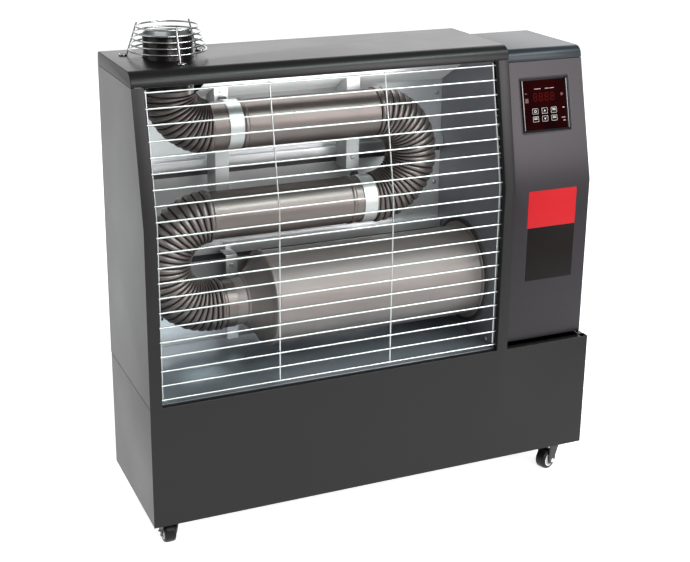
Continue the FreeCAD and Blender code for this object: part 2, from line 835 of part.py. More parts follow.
def screw(place, way):
    """Pan-head screw on a face, its domed head pointing along way."""
    head = Part.makeCylinder(screw_head_radius, screw_head_height, place, way)
    crown = place + way * screw_head_height
    rim = [e for e in head.Edges if e.Closed and (e.CenterOfMass - crown).Length < screw_head_height / 2]
    return head.makeFillet(screw_dome, rim)


def screws():
    """Screws of the flue guard's feet, the reflector's edge and the divider's foot."""
    heads = []
    for leg in range(guard_legs):
        angle = math.radians(guard_leg_turn + leg * 360.0 / guard_legs)
        reach = guard_foot_radius + guard_wire - wire_weld + guard_eye_radius + guard_wire / 2
        place = V(flue_x + reach * math.cos(angle), flue_y + reach * math.sin(angle), z_top)
        heads.append(screw(place, V(0, 0, 1)))
    for z in (upper_z, upper_z - side_screw_drop):
        heads.append(screw(V(divider_x - screw_margin, reflector_y, z), V(0, -1, 0)))
    heads.append(screw(V(divider_x, front + foot_screw_inset, floor_z + foot_screw_rise), V(-1, 0, 0)))
    return Part.makeCompound(heads)


def burner_tube():
    """Blast tube through the divider into the chamber, with its mounting flange."""
    x0 = divider_x - burner_reach
    plate = divider_x + sheet
    x1 = plate + blower_spacing
    tube = rod_x(x0, x1, pipe_y, chamber_z, burner_radius)
    disc = rod_x(plate, plate + burner_flange_thickness, pipe_y, chamber_z, burner_flange_radius)
    return fused([tube, disc]).cut(rod_x(x0, x1, pipe_y, chamber_z, burner_radius - pipe_wall))


def blower_housing():
    """Drum of the blower with an outlet to the blast tube and an inlet round the motor."""
    x0 = divider_x + sheet + blower_spacing
    x1 = x0 + blower_width
    drum = rod_x(x0, x1, pipe_y, chamber_z, blower_radius)
    drum = drum.cut(rod_x(x0 + blower_wall, x1 - blower_wall, pipe_y, chamber_z, blower_radius - blower_wall))
    drum = drum.cut(rod_x(x0, x0 + blower_wall, pipe_y, chamber_z, burner_radius - pipe_wall))
    return drum.cut(rod_x(x1 - blower_wall, x1, pipe_y, chamber_z, inlet_radius))


def wheel_x():
    """Left face of the blower wheel in its housing."""
    return divider_x + sheet + blower_spacing + blower_width - 2 * blower_wall - wheel_width


def blower_wheel():
    """Squirrel-cage wheel with radial blades on its shaft."""
    x0 = wheel_x()
    x1 = x0 + wheel_width
    motor_x = divider_x + sheet + blower_spacing + blower_width
    back = rod_x(x1 - blade_thickness, x1, pipe_y, chamber_z, wheel_radius)
    ring = rod_x(x0, x0 + blade_thickness, pipe_y, chamber_z, wheel_radius)
    ring = ring.cut(rod_x(x0, x0 + blade_thickness, pipe_y, chamber_z, wheel_radius - wheel_ring_depth))
    shaft = rod_x(x0 + wheel_width / 2, motor_x + motor_length / 2, pipe_y, chamber_z, shaft_radius)
    hub = rod_x(x0 + wheel_width / 2, x1, pipe_y, chamber_z, wheel_hub_radius)
    parts = [back, ring, shaft, hub]
    for blade in range(wheel_blades):
        fin = box(x0, pipe_y - blade_thickness / 2, chamber_z + wheel_radius - blade_depth,
                  x1, pipe_y + blade_thickness / 2, chamber_z + wheel_radius - blade_thickness)
        fin.rotate(V(0, pipe_y, chamber_z), V(1, 0, 0), blade * 360.0 / wheel_blades)
        parts.append(fin)
    return fused(parts)


def blower_motor():
    """Motor on the housing's right face, bored for the wheel's shaft."""
    x0 = divider_x + sheet + blower_spacing + blower_width
    body = rod_x(x0, x0 + motor_length, pipe_y, chamber_z, motor_radius)
    ends = [e for e in body.Edges if e.BoundBox.XMin > x0 + motor_length / 2 and e.BoundBox.XLength < 1e-6]
    body = body.makeFillet(motor_round, ends)
    x1 = x0 + motor_length / 2 + shaft_radius
    return body.cut(rod_x(x0, x1, pipe_y, chamber_z, shaft_radius + shaft_fit))


def pump_x():
    """Left face of the fuel pump."""
    return divider_x + sheet + blower_spacing + blower_width


def fuel_pump():
    """Fuel pump on the housing's right face under the motor."""
    x0 = pump_x()
    z = chamber_z - pump_drop
    body = rod_x(x0, x0 + pump_length, pipe_y, z, pump_radius)
    x1 = x0 + pump_length
    return fused([body, rod_x(x1, x1 + pump_boss_length, pipe_y, z, pump_boss_radius)])


def spray_nozzle():
    """Nozzle on its diffuser disc inside the blast tube."""
    x0 = divider_x - burner_reach / 2
    x1 = divider_x + sheet + blower_spacing
    inner = burner_radius - pipe_wall - seat_gap
    disc_x = x0 + 2 * nozzle_radius
    stem = nozzle_radius / 2
    profile = [(x0, 0), (x0, stem), (x0 + nozzle_radius, nozzle_radius), (disc_x, nozzle_radius),
               (disc_x, inner), (disc_x + diffuser_thickness, inner), (disc_x + diffuser_thickness, stem),
               (x1, stem), (x1, 0)]
    body = turned_x(profile, pipe_y, chamber_z)
    ring = (inner + nozzle_radius) / 2
    for hole in range(diffuser_holes):
        angle = math.radians(hole * 360.0 / diffuser_holes)
        y = pipe_y + ring * math.cos(angle)
        z = chamber_z + ring * math.sin(angle)
        body = body.cut(rod_x(x0, x1, y, z, diffuser_hole_radius))
    return body


def ignition_transformer():
    """Ignition coil block on the divider's control side."""
    x0 = divider_x + sheet
    z0 = chamber_z + coil_rise
    block = box(x0, pipe_y - coil_depth / 2, z0, x0 + coil_width, pipe_y + coil_depth / 2, z0 + coil_height)
    z1 = z0 + coil_height
    tower = rod_z(x0 + coil_width / 2, pipe_y, z1, z1 + coil_tower_height, coil_tower_radius)
    return fused([block, tower])


def tank_ends():
    """Left and right faces of the fuel tank, centred under the heating side."""
    middle = (left + cover_end) / 2
    return middle - tank_length / 2, middle + tank_length / 2


def fuel_tank():
    """Hollow tank on the base floor with a filler neck through the rear wall."""
    x0, x1 = tank_ends()
    z0 = z_base + sheet
    y0 = front + sheet + tank_gap
    y1 = rear - sheet - tank_gap
    shell = box(x0, y0, z0, x1, y1, z0 + tank_height)
    shell = shell.makeFillet(tank_corner, [e for e in shell.Edges if e.BoundBox.ZLength > tank_height / 2])
    hollow = box(x0 + tank_wall, y0 + tank_wall, z0 + tank_wall,
                 x1 - tank_wall, y1 - tank_wall, z0 + tank_height - tank_wall)
    upright = [e for e in hollow.Edges if e.BoundBox.ZLength > tank_height / 2]
    hollow = hollow.makeFillet(tank_corner - tank_wall, upright)
    neck_x = left + neck_from_left
    neck_z = z_deck - neck_drop
    y2 = rear + neck_stand_out
    tank = fused([shell, rod_y(neck_x, y1 - tank_wall, y2, neck_z, neck_radius)])
    return tank.cut(hollow).cut(rod_y(neck_x, y1 - 2 * tank_wall, y2, neck_z, neck_radius - neck_wall))


def fuel_cap():
    """Filler cap over the neck, with grip ribs round its skirt."""
    x = left + neck_from_left
    z = z_deck - neck_drop
    y0 = rear + seat_gap
    y1 = rear + cap_stand_out
    body = rod_y(x, y0, y1, z, cap_radius)
    grips = []
    for grip in range(cap_grips):
        angle = math.radians(grip * 360.0 / cap_grips)
        grip_x = x + cap_radius * math.cos(angle)
        grip_z = z + cap_radius * math.sin(angle)
        grips.append(rod_y(grip_x, y0, y1, grip_z, cap_grip_radius))
    body = body.cut(Part.makeCompound(grips))
    return body.cut(rod_y(x, rear, rear + neck_stand_out + seat_gap, z, neck_radius + seat_gap))


def fuel_line():
    """Pipe from the tank's right end up to the pump."""
    x0 = tank_ends()[1]
    x1 = pump_x() + pump_length / 2
    z0 = z_base + sheet + tank_height / 2
    z1 = chamber_z - pump_drop - pump_radius
    turn = V(x1 - line_bend, pipe_y, z0 + line_bend)
    half = math.sqrt(0.5) * line_bend
    start = V(x0, pipe_y, z0)
    bend_start = V(x1 - line_bend, pipe_y, z0)
    bend_mid = V(turn.x + half, pipe_y, turn.z - half)
    bend_end = V(x1, pipe_y, z0 + line_bend)
    path = Part.Wire([Part.LineSegment(start, bend_start).toShape(),
                      Part.Arc(bend_start, bend_mid, bend_end).toShape(),
                      Part.LineSegment(bend_end, V(x1, pipe_y, z1)).toShape()])
    section = Part.Wire(Part.makeCircle(line_radius, start, V(1, 0, 0)))
    return path.makePipeShell([section], True, False)


def cable_gland():
    """Cable entry nut on the rear cover."""
    x = (divider_x + sheet + seat_gap + control_right) / 2
    z = z_deck + gland_rise
    y0 = rear + sheet
    y1 = y0 + gland_length / 2
    turns = [math.radians(60.0 * corner) for corner in range(7)]
    corners = [V(x + gland_radius * math.cos(a), y0, z + gland_radius * math.sin(a)) for a in turns]
    nut = Part.Face(Part.makePolygon(corners)).extrude(V(0, gland_length / 2, 0))
    dome = Part.makeCone(gland_dome_radius, gland_tip_radius, gland_length / 2, V(x, y1, z), V(0, 1, 0))
    return fused([nut, dome]).cut(rod_y(x, y0, y0 + gland_length, z, gland_hole))


# Casters, drawn with the swivel axis at the origin and the wheel trailing along +X, then turned and placed.
axle_z = tyre_radius
fork_inner = tyre_width / 2 + fork_gap
fork_outer = fork_inner + fork_plate
race_z = caster_height - plate_thickness - race_height
crown_top = race_z - seat_gap
crown_z = crown_top - fork_plate


def caster_plate():
    """Top plate with the swivel race, bored for the kingpin."""
    half = plate_size / 2
    plate = box(-half, -half, caster_height - plate_thickness, half, half, caster_height)
    upright = [e for e in plate.Edges if e.BoundBox.ZLength > plate_thickness / 2]
    plate = plate.makeFillet(plate_corner, upright)
    body = fused([plate, rod_z(0, 0, race_z, caster_height - plate_thickness, race_radius)])
    return body.cut(rod_z(0, 0, race_z, caster_height, kingpin_radius + running_gap))


def caster_fork():
    """Fork with a round crown, two tapering legs and the kingpin."""
    crown = rod_z(0, 0, crown_z, crown_top, crown_radius)
    bridge = box(0, -fork_outer, crown_z, caster_trail, fork_outer, crown_top)
    pin = rod_z(0, 0, crown_top, caster_height - plate_thickness / 2, kingpin_radius)
    parts = [crown, bridge, pin]
    for side in (-1, 1):
        y0 = min(side * fork_inner, side * fork_outer)
        corners = [V(-crown_radius / 2, y0, crown_top), V(caster_trail + fork_radius / 2, y0, crown_top),
                   V(caster_trail + fork_radius, y0, axle_z), V(caster_trail - fork_radius, y0, axle_z)]
        leg = Part.Face(Part.makePolygon(corners + corners[:1])).extrude(V(0, fork_plate, 0))
        parts += [leg, rod_y(caster_trail, y0, y0 + fork_plate, axle_z, fork_radius)]
    body = fused(parts)
    return body.cut(rod_y(caster_trail, -fork_outer, fork_outer, axle_z, axle_radius + running_gap))


def caster_tyre():
    """Solid tyre with rounded shoulders."""
    half = tyre_width / 2
    body = rod_y(caster_trail, -half, half, axle_z, tyre_radius)
    rims = [e for e in body.Edges if e.BoundBox.YLength < 1e-6]
    body = body.makeFillet(tyre_corner, rims)
    return body.cut(rod_y(caster_trail, -half, half, axle_z, rim_radius + running_gap))


def caster_hub():
    """Wheel centre with a dished face and raised boss, bored for the axle."""
    half = tyre_width / 2
    body = rod_y(caster_trail, -half, half, axle_z, rim_radius)
    for y0 in (-half, half - hub_recess):
        dish = rod_y(caster_trail, y0, y0 + hub_recess, axle_z, rim_radius - hub_lip)
        boss = rod_y(caster_trail, y0, y0 + hub_recess, axle_z, axle_head_radius + running_gap)
        body = body.cut(dish.cut(boss))
    spacer = half + fork_gap - seat_gap
    body = fused([body, rod_y(caster_trail, -spacer, spacer, axle_z, axle_head_radius)])
    return body.cut(rod_y(caster_trail, -spacer, spacer, axle_z, axle_radius + running_gap))


def caster_axle():
    """Axle bolt with a domed head and a nut."""
    shank = rod_y(caster_trail, -fork_outer, fork_outer, axle_z, axle_radius)
    head = Part.makeCone(axle_head_radius, axle_head_top, axle_head,
                         V(caster_trail, -fork_outer, axle_z), V(0, -1, 0))
    nut = rod_y(caster_trail, fork_outer, fork_outer + axle_head, axle_z, axle_head_radius)
    return fused([shank, head, nut])


def caster_places():
    """Name, swivel place and rest turn of each caster."""
    x0 = left + caster_inset
    x1 = right - caster_inset
    y0 = front + caster_inset
    y1 = rear - caster_inset
    return [("front_left", x0, y0, front_left_turn), ("front_right", x1, y0, front_right_turn),
            ("rear_left", x0, y1, rear_left_turn), ("rear_right", x1, y1, rear_right_turn)]


def placed(shape, x, y, turn):
    """Turn a caster piece about its swivel axis and set it under the base."""
    copy = shape.copy()
    copy.rotate(V(0, 0, 0), V(0, 0, 1), turn)
    copy.translate(V(x, y, 0))
    return copy


os.makedirs("parts", exist_ok=True)
builders = [front_panel, base_tray, left_side_panel, right_side_panel, rear_panel, burner_cover, top_cover,
            control_lid, control_front, display_panel, control_board, divider_wall, chamber_floor, reflector,
            guard_grille, combustion_chamber, left_bend, middle_tube, right_bend, upper_tube, flue_elbow,
            flue_outlet, pipe_clamps, support_brackets, flue_guard, screws, burner_tube, spray_nozzle,
            blower_housing, blower_wheel, blower_motor, fuel_pump, ignition_transformer, fuel_tank, fuel_cap,
            fuel_line, cable_gland]
nodes = {build.__name__: build() for build in builders}
for number, place in enumerate(key_places(), start=1):
    nodes[f"key_{number}"] = control_key(place)
plates = []
for name, x, y, turn in caster_places():
    plates.append(placed(caster_plate(), x, y, 0))
    for piece in (caster_fork, caster_tyre, caster_hub, caster_axle):
        nodes[f"{name}_{piece.__name__}"] = placed(piece(), x, y, turn)
nodes["caster_plates"] = Part.makeCompound(plates)
for name, shape in nodes.items():
    shape.exportStep(f"parts/{name}.step")
    print(name, len(shape.Solids), "solid", shape.isValid(), round(shape.Volume), shape.BoundBox)
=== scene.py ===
import json
import math

import bmesh
import bpy
from mathutils import Matrix, Vector

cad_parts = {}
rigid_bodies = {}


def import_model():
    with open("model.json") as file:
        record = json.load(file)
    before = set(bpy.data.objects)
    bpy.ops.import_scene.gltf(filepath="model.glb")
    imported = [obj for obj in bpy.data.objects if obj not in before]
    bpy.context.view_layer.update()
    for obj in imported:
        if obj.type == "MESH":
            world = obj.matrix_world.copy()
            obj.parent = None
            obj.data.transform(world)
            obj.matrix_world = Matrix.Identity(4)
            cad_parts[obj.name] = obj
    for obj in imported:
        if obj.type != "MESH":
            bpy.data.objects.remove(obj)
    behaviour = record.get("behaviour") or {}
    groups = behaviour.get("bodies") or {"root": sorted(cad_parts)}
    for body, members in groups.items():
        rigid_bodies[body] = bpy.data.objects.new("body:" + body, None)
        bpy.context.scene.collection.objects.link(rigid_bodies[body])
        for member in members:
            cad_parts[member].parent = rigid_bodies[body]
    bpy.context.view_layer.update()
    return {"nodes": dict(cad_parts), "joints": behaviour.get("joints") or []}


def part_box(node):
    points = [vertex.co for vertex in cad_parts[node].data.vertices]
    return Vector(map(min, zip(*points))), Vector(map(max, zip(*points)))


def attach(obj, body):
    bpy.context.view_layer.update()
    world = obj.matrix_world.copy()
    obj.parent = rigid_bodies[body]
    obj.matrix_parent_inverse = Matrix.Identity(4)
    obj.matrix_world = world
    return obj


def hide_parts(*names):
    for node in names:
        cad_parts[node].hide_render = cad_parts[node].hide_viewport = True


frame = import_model()


# Casters: four small furniture casters under the corners of the base, each a pressed black fork
# on a swivel plate, with a rubber tyre on a light moulded hub and a bright domed axle bolt.
mm = 0.001


def clear():
    """Object mode with nothing selected, so the next operator touches only its own piece."""
    if bpy.context.mode != "OBJECT":
        bpy.ops.object.mode_set(mode="OBJECT")
    bpy.ops.object.select_all(action="DESELECT")
    bpy.context.tool_settings.mesh_select_mode = (True, False, False)


def take(piece):
    """Make one piece the only selected and active one."""
    clear()
    piece.select_set(True)
    bpy.context.view_layer.objects.active = piece


def pick(piece, kind, test=None):
    """Select all parts (VERT, EDGE or FACE) of a piece, or those whose middle passes a test."""
    if bpy.context.mode == "OBJECT":
        take(piece)
        bpy.ops.object.mode_set(mode="EDIT")
    bpy.ops.mesh.select_mode(type=kind)
    bpy.ops.mesh.select_all(action="DESELECT" if test else "SELECT")
    if not test:
        return
    mesh = bmesh.from_edit_mesh(piece.data)
    for part in {"VERT": mesh.verts, "EDGE": mesh.edges, "FACE": mesh.faces}[kind]:
        spots = [part.co] if kind == "VERT" else [corner.co for corner in part.verts]
        part.select_set(bool(test(sum(spots, Vector()) / len(spots), part)))
    bmesh.update_edit_mesh(piece.data)


def same(a, b):
    """Whether two places agree within the drawing's tolerance."""
    return abs(a - b) < 2e-5


def block(low, high):
    """Cube drawn between two opposite corners."""
    clear()
    low, high = Vector(low), Vector(high)
    bpy.ops.mesh.primitive_cube_add(size=1, location=(low + high) / 2, scale=high - low)
    bpy.ops.object.transform_apply()
    return bpy.context.object


def turned(stations, foot, way, sides=64):
    """Turned piece: a ring drawn out station by station, each (distance along the way, radius)."""
    clear()
    bpy.ops.mesh.primitive_circle_add(vertices=sides, radius=stations[0][1])
    piece = bpy.context.object
    bpy.ops.object.mode_set(mode="EDIT")
    bpy.ops.mesh.select_all(action="SELECT")
    bpy.ops.transform.translate(value=(0, 0, stations[0][0]))
    for (here, wide), (there, next_wide) in zip(stations, stations[1:]):
        bpy.ops.mesh.extrude_region_move(TRANSFORM_OT_translate={"value": (0, 0, there - here)})
        grow = next_wide / wide
        bpy.ops.transform.resize(value=(grow, grow, 1), center_override=(0, 0, there))
    bpy.ops.mesh.select_all(action="SELECT")
    bpy.ops.mesh.remove_doubles(threshold=1e-6)
    bpy.ops.mesh.fill_holes(sides=0)
    bpy.ops.mesh.normals_make_consistent(inside=False)
    take(piece)
    piece.rotation_euler = Vector((0, 0, 1)).rotation_difference(Vector(way)).to_euler()
    piece.location = foot
    bpy.ops.object.transform_apply()
    return piece


def rod(start, end, radius, foot, way, sides):
    """Plain round bar, or a prism when it has few sides."""
    return turned([(start, radius), (end, radius)], foot, way, sides)


def arc(along, out, radius, start, end, steps=5):
    """Stations of a rounded corner: middle, radius and two angles in degrees."""
    angles = [math.radians(start + (end - start) * step / steps) for step in range(steps + 1)]
    return [(along + radius * math.cos(turn), out + radius * math.sin(turn)) for turn in angles]


def work(piece, kind, **settings):
    """Put one modifier on a piece, set it and apply it."""
    take(piece)
    change = piece.modifiers.new(kind.lower(), kind)
    for name, value in settings.items():
        setattr(change, name, value)
    bpy.ops.object.modifier_apply(modifier=change.name)


def soften(piece, width, segments=2, angle=35):
    """Break the sharp edges of a piece with a small round."""
    work(piece, "BEVEL", width=width, segments=segments, limit_method="ANGLE",
         angle_limit=math.radians(angle))


def round_corners(piece, axis, radius, segments):
    """Round the edges of a block that run along one axis."""
    pick(piece, "EDGE", lambda at, edge:
         same(abs((edge.verts[0].co - edge.verts[1].co)[axis]), edge.calc_length()))
    bpy.ops.mesh.bevel(offset=radius, segments=segments)
    clear()


def joined(pieces):
    """Weld several worked shapes into one piece."""
    clear()
    for piece in pieces:
        piece.select_set(True)
    bpy.context.view_layer.objects.active = pieces[0]
    bpy.ops.object.join()
    return bpy.context.object


def plug(middle, turn, radius, depth, sides):
    """Solid cylinder round a middle, turned from upright."""
    clear()
    bpy.ops.mesh.primitive_cylinder_add(vertices=sides, radius=radius, depth=depth,
                                        location=middle, rotation=turn)
    bpy.ops.object.transform_apply()
    return bpy.context.object


def wrapped(pieces):
    """One solid drawn tight round several shapes."""
    piece = joined(pieces)
    pick(piece, "VERT")
    bpy.ops.mesh.convex_hull()
    clear()
    return piece


def merge(piece, other, operation):
    """Add (UNION) another shape to a piece or cut it away (DIFFERENCE)."""
    work(piece, "BOOLEAN", object=other, operation=operation, solver="EXACT")
    bpy.data.objects.remove(other)


def twin(piece, place):
    """Copy of a piece with a mesh of its own, put in another place."""
    copy = piece.copy()
    copy.data = piece.data.copy()
    bpy.context.collection.objects.link(copy)
    copy.data.transform(place)
    return copy


def set_down(piece, name, finish, body="cabinet", nodes=(), smooth=35):
    """Name a finished piece, shade its rounds, give it its finish and hand it to its body."""
    take(piece)
    bpy.ops.object.transform_apply()
    bpy.ops.object.shade_smooth_by_angle(angle=math.radians(smooth))
    piece.name = name
    piece.data.name = name
    if not piece.data.materials:
        piece.data.materials.append(finish)
    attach(piece, body)
    if nodes:
        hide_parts(*nodes)


def stand_in(piece, node, finish, body="cabinet", smooth=35):
    """Set a piece down in place of the construction's piece of the same name."""
    set_down(piece, node + "_shape", finish, body, [node], smooth)


def new_finish(name, colour, roughness, metallic=0.0, specular=0.5):
    """Finish of one even colour; a mottle may be added to it afterwards."""
    finish = bpy.data.materials.new(name)
    finish.use_nodes = True
    shader = finish.node_tree.nodes["Principled BSDF"]
    shader.inputs["Base Color"].default_value = (*colour, 1)
    shader.inputs["Roughness"].default_value = roughness
    shader.inputs["Metallic"].default_value = metallic
    shader.inputs["Specular IOR Level"].default_value = specular
    return finish


def mottle(finish, kind, scale, detail, stretch=(1, 1, 1)):
    """Mottle that lies on the piece itself, led through a new shader node of one kind."""
    nodes, links = finish.node_tree.nodes, finish.node_tree.links
    place = nodes.new("ShaderNodeTexCoord")
    laid = nodes.new("ShaderNodeMapping")
    noise = nodes.new("ShaderNodeTexNoise")
    taker = nodes.new("ShaderNode" + kind)
    laid.inputs["Scale"].default_value = stretch
    noise.inputs["Scale"].default_value = scale
    noise.inputs["Detail"].default_value = detail
    links.new(place.outputs["Object"], laid.inputs["Vector"])
    links.new(laid.outputs["Vector"], noise.inputs["Vector"])
    entry, socket = {"Bump": ("Height", "Normal"), "ValToRGB": ("Fac", "Base Color"),
                     "MapRange": ("Value", "Roughness")}[kind]
    links.new(noise.outputs[0], taker.inputs[entry])
    links.new(taker.outputs[0], nodes["Principled BSDF"].inputs[socket])
    return taker


def grain(finish, scale, detail, strength, depth=0.2 * mm):
    """Let a mottle raise and lower the surface."""
    relief = mottle(finish, "Bump", scale, detail)
    relief.inputs["Strength"].default_value = strength
    relief.inputs["Distance"].default_value = depth


fork_black = new_finish("fork_black", (0.011, 0.0095, 0.0105), 0.36, specular=0.3)
grain(fork_black, 700, 2, 0.25)
tyre_rubber = new_finish("tyre_rubber", (0.005, 0.0048, 0.005), 0.34, specular=0.2)
grain(tyre_rubber, 500, 3, 0.2)
hub_plastic = new_finish("hub_plastic", (0.66, 0.64, 0.62), 0.42)
bolt_steel = new_finish("bolt_steel", (0.72, 0.73, 0.74), 0.22, 1.0)
zinc_plate = new_finish("zinc_plate", (0.42, 0.42, 0.43), 0.4, 1.0)

along_x, along_y, along_z = (1, 0, 0), (0, 1, 0), (0, 0, 1)
wheel_radius = 21 * mm
wheel_half = 11 * mm
rim_radius = 14.5 * mm
trail = 16 * mm
axle_place = (trail, 0, wheel_radius)
leg_inside, leg_outside = 12.2 * mm, 14.7 * mm
leg_round = 8.5 * mm
crown_low, crown_top = 53.7 * mm, 56.2 * mm
crown_radius = 17 * mm
pin_radius, pin_top = 5 * mm, 62.6 * mm

crown_disc = plug((0, 0, (crown_top + crown_low) / 2), (0, 0, 0), crown_radius, crown_top - crown_low, 48)
crown_bridge = block((-leg_round, -leg_outside, crown_low), (trail + leg_round / 2, leg_outside, crown_top))
crown = wrapped([crown_disc, crown_bridge])
for side in (-1, 1):
    near, far = sorted((side * leg_inside, side * leg_outside))
    leg_foot = plug((trail, side * (leg_inside + leg_outside) / 2, wheel_radius), (math.pi / 2, 0, 0),
                    leg_round, leg_outside - leg_inside, 32)
    leg_head = block((-leg_round, near, crown_low), (trail + leg_round / 2, far, crown_top))
    merge(crown, wrapped([leg_foot, leg_head]), "UNION")
king_pin = rod(crown_low, pin_top, pin_radius, (0, 0, 0), along_z, 32)
soften(crown, 0.8 * mm, 3)
fork = joined([crown, king_pin])

shoulder = 5 * mm
tyre_bore = rim_radius + 0.05 * mm
tyre = turned([(-wheel_half, tyre_bore)]
              + arc(-wheel_half + shoulder, wheel_radius - shoulder, shoulder, 180, 90)
              + arc(wheel_half - shoulder, wheel_radius - shoulder, shoulder, 90, 0)
              + [(wheel_half, tyre_bore), (-wheel_half, tyre_bore)], axle_place, along_y)

hub_face = wheel_half - 0.4 * mm
hub_floor = wheel_half - 4 * mm
boss_face = wheel_half + 0.9 * mm
boss_radius = 6 * mm
hub_bore = 3.06 * mm
hub_half = [(boss_face, hub_bore), (boss_face, boss_radius), (hub_floor, boss_radius + 1 * mm),
            (hub_floor, rim_radius - 3.4 * mm), (hub_face, rim_radius - 2.4 * mm),
            (hub_face, rim_radius - 0.3 * mm), (hub_face - 0.4 * mm, rim_radius)]
hub = turned([(-along, out) for along, out in hub_half] + hub_half[::-1] + [(-boss_face, hub_bore)],
             axle_place, along_y)
soften(hub, 0.35 * mm)

axle_radius = 3 * mm
bolt_head, bolt_dome = 5 * mm, 3.4 * mm
nut_radius, nut_height = 4.8 * mm, 3 * mm
dome = [(-leg_outside - bolt_dome * math.cos(turn), bolt_head * math.sin(turn))
        for turn in (0.3, 0.6, 0.9, 1.2, math.pi / 2)]
bolt = turned([(-leg_outside - bolt_dome, 0.4 * mm)] + dome
              + [(-leg_outside, axle_radius), (leg_outside + 4 * mm, axle_radius)], axle_place, along_y, 40)
nut = rod(leg_outside, leg_outside + nut_height, nut_radius, axle_place, along_y, 6)
axle = joined([bolt, nut])

caster_shapes = {"fork": (fork, fork_black, "caster_black", "fork"),
                 "tyre": (tyre, tyre_rubber, "caster_tyre", "wheel"),
                 "hub": (hub, hub_plastic, "caster_hub", "wheel"),
                 "axle": (axle, bolt_steel, "axle_steel", "fork")}
joint_places = {joint["name"]: Vector(joint["pos_m"]) for joint in frame["joints"] if "pos_m" in joint}
plate_half = 29 * mm
plate_low, plate_top = 61.5 * mm, 64 * mm
race_low, race_knee = 56.5 * mm, 58.5 * mm
race_bore, race_foot, race_radius = 5.1 * mm, 13 * mm, 16 * mm
plates = []
for corner in ("front_left", "front_right", "rear_left", "rear_right"):
    swivel_x, swivel_y = joint_places[corner + "_swivel"].xy
    axle_at = joint_places[corner + "_spin"]
    swing = math.atan2(axle_at.y - swivel_y, axle_at.x - swivel_x)
    place = Matrix.Translation((swivel_x, swivel_y, 0)) @ Matrix.Rotation(swing, 4, "Z")
    for kind, (shape, finish, slot, body) in caster_shapes.items():
        stand_in(twin(shape, place), f"{corner}_caster_{kind}", finish, f"{corner}_{body}")
    plate = block((swivel_x - plate_half, swivel_y - plate_half, plate_low),
                  (swivel_x + plate_half, swivel_y + plate_half, plate_top))
    round_corners(plate, 2, 5 * mm, 4)
    soften(plate, 0.5 * mm)
    race = turned([(race_low, race_bore), (race_low, race_foot), (race_knee, race_radius),
                   (plate_low, race_radius), (plate_low, race_bore), (race_low, race_bore)],
                  (swivel_x, swivel_y, 0), along_z, 40)
    plates.append(joined([plate, race]))
stand_in(joined(plates), "caster_plates", zinc_plate)
for shape, *_ in caster_shapes.values():
    bpy.data.objects.remove(shape)


# Base tray: folded lower box of powder-coated sheet, open at the front where the front panel
# closes it, with a narrow fold along the top of its walls that carries the upper panels.
def gloss(finish, scale, detail, low, high, stretch=(1, 1, 1)):
    """Let a mottle change how dull the surface is."""
    spread = mottle(finish, "MapRange", scale, detail, stretch)
    spread.inputs["To Min"].default_value = low
    spread.inputs["To Max"].default_value = high


def draw_out(slide):
    """Extrude what is picked by a distance along each axis."""
    bpy.ops.mesh.extrude_region_move(TRANSFORM_OT_translate={"value": slide})


def bore(piece, radius, reach, at, way, sides=64):
    """Drill a round hole through a piece, this far to both sides of a place."""
    merge(piece, rod(-reach, reach, radius, at, way, sides), "DIFFERENCE")


sheet = 1.2 * mm


def bend_sheet(piece, bend_round, angle=60, thickness=sheet):
    """Round the bends of a folded sheet and give it its thickness."""
    soften(piece, bend_round, 3, angle)
    work(piece, "SOLIDIFY", thickness=thickness, offset=-1)


powder_coat = new_finish("powder_coat", (0.0064, 0.0056, 0.0058), 0.34, specular=0.28)
grain(powder_coat, 850, 2, 0.15)
gloss(powder_coat, 9, 3, 0.3, 0.38)

fold = 14 * mm
tray_low, tray_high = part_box("base_tray")
deck_z = tray_high.z
tray = block(tray_low, tray_high)
pick(tray, "FACE", lambda at, face: face.normal.y < -0.9 or face.normal.z > 0.9)
bpy.ops.mesh.delete(type="FACE")
for axis, wall, slide in ((0, tray_low.x, (fold, 0, 0)), (0, tray_high.x, (-fold, 0, 0)),
                          (1, tray_high.y, (0, -fold, 0))):
    pick(tray, "EDGE", lambda at, edge: same(at.z, deck_z) and same(at[axis], wall))
    draw_out(slide)
pick(tray, "FACE")
bpy.ops.mesh.normals_make_consistent(inside=False)
clear()
bend_sheet(tray, 1.6 * mm)
cap_low, cap_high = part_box("fuel_cap")
cap_middle = (cap_low + cap_high) / 2
neck_room, neck_reach = 27.5 * mm, 30 * mm
bore(tray, neck_room, neck_reach, (cap_middle.x, tray_high.y, cap_middle.z), along_y, 48)
stand_in(tray, "base_tray", powder_coat)


# Fuel tank, filler cap and fuel line: the welded tank lies unseen in the base, its neck comes out
# of the back under a moulded screw cap with grips, and a thin copper line runs to the pump.
def tint(finish, scale, detail, dark, light, stretch=(1, 1, 1)):
    """Let a mottle change the colour between a dark and a light tone."""
    ramp = mottle(finish, "ValToRGB", scale, detail, stretch).color_ramp
    for element, position, colour in zip(ramp.elements, (0.3, 0.7), (dark, light)):
        element.position = position
        element.color = (*colour, 1)


def give_finish(finish, *nodes):
    """Put a finish on pieces that are kept as the construction drew them."""
    for node in nodes:
        frame["nodes"][node].data.materials.clear()
        frame["nodes"][node].data.materials.append(finish)


tank_paint = new_finish("tank_paint", (0.11, 0.11, 0.115), 0.5)
grain(tank_paint, 60, 3, 0.2)
give_finish(tank_paint, "fuel_tank")
copper_line = new_finish("copper_line", (0.71, 0.36, 0.22), 0.3, 1.0)
tint(copper_line, 40, 3, (0.55, 0.27, 0.17), (0.74, 0.4, 0.26))
give_finish(copper_line, "fuel_line")
cap_plastic = new_finish("cap_plastic", (0.016, 0.016, 0.017), 0.45)
grain(cap_plastic, 420, 2, 0.25)

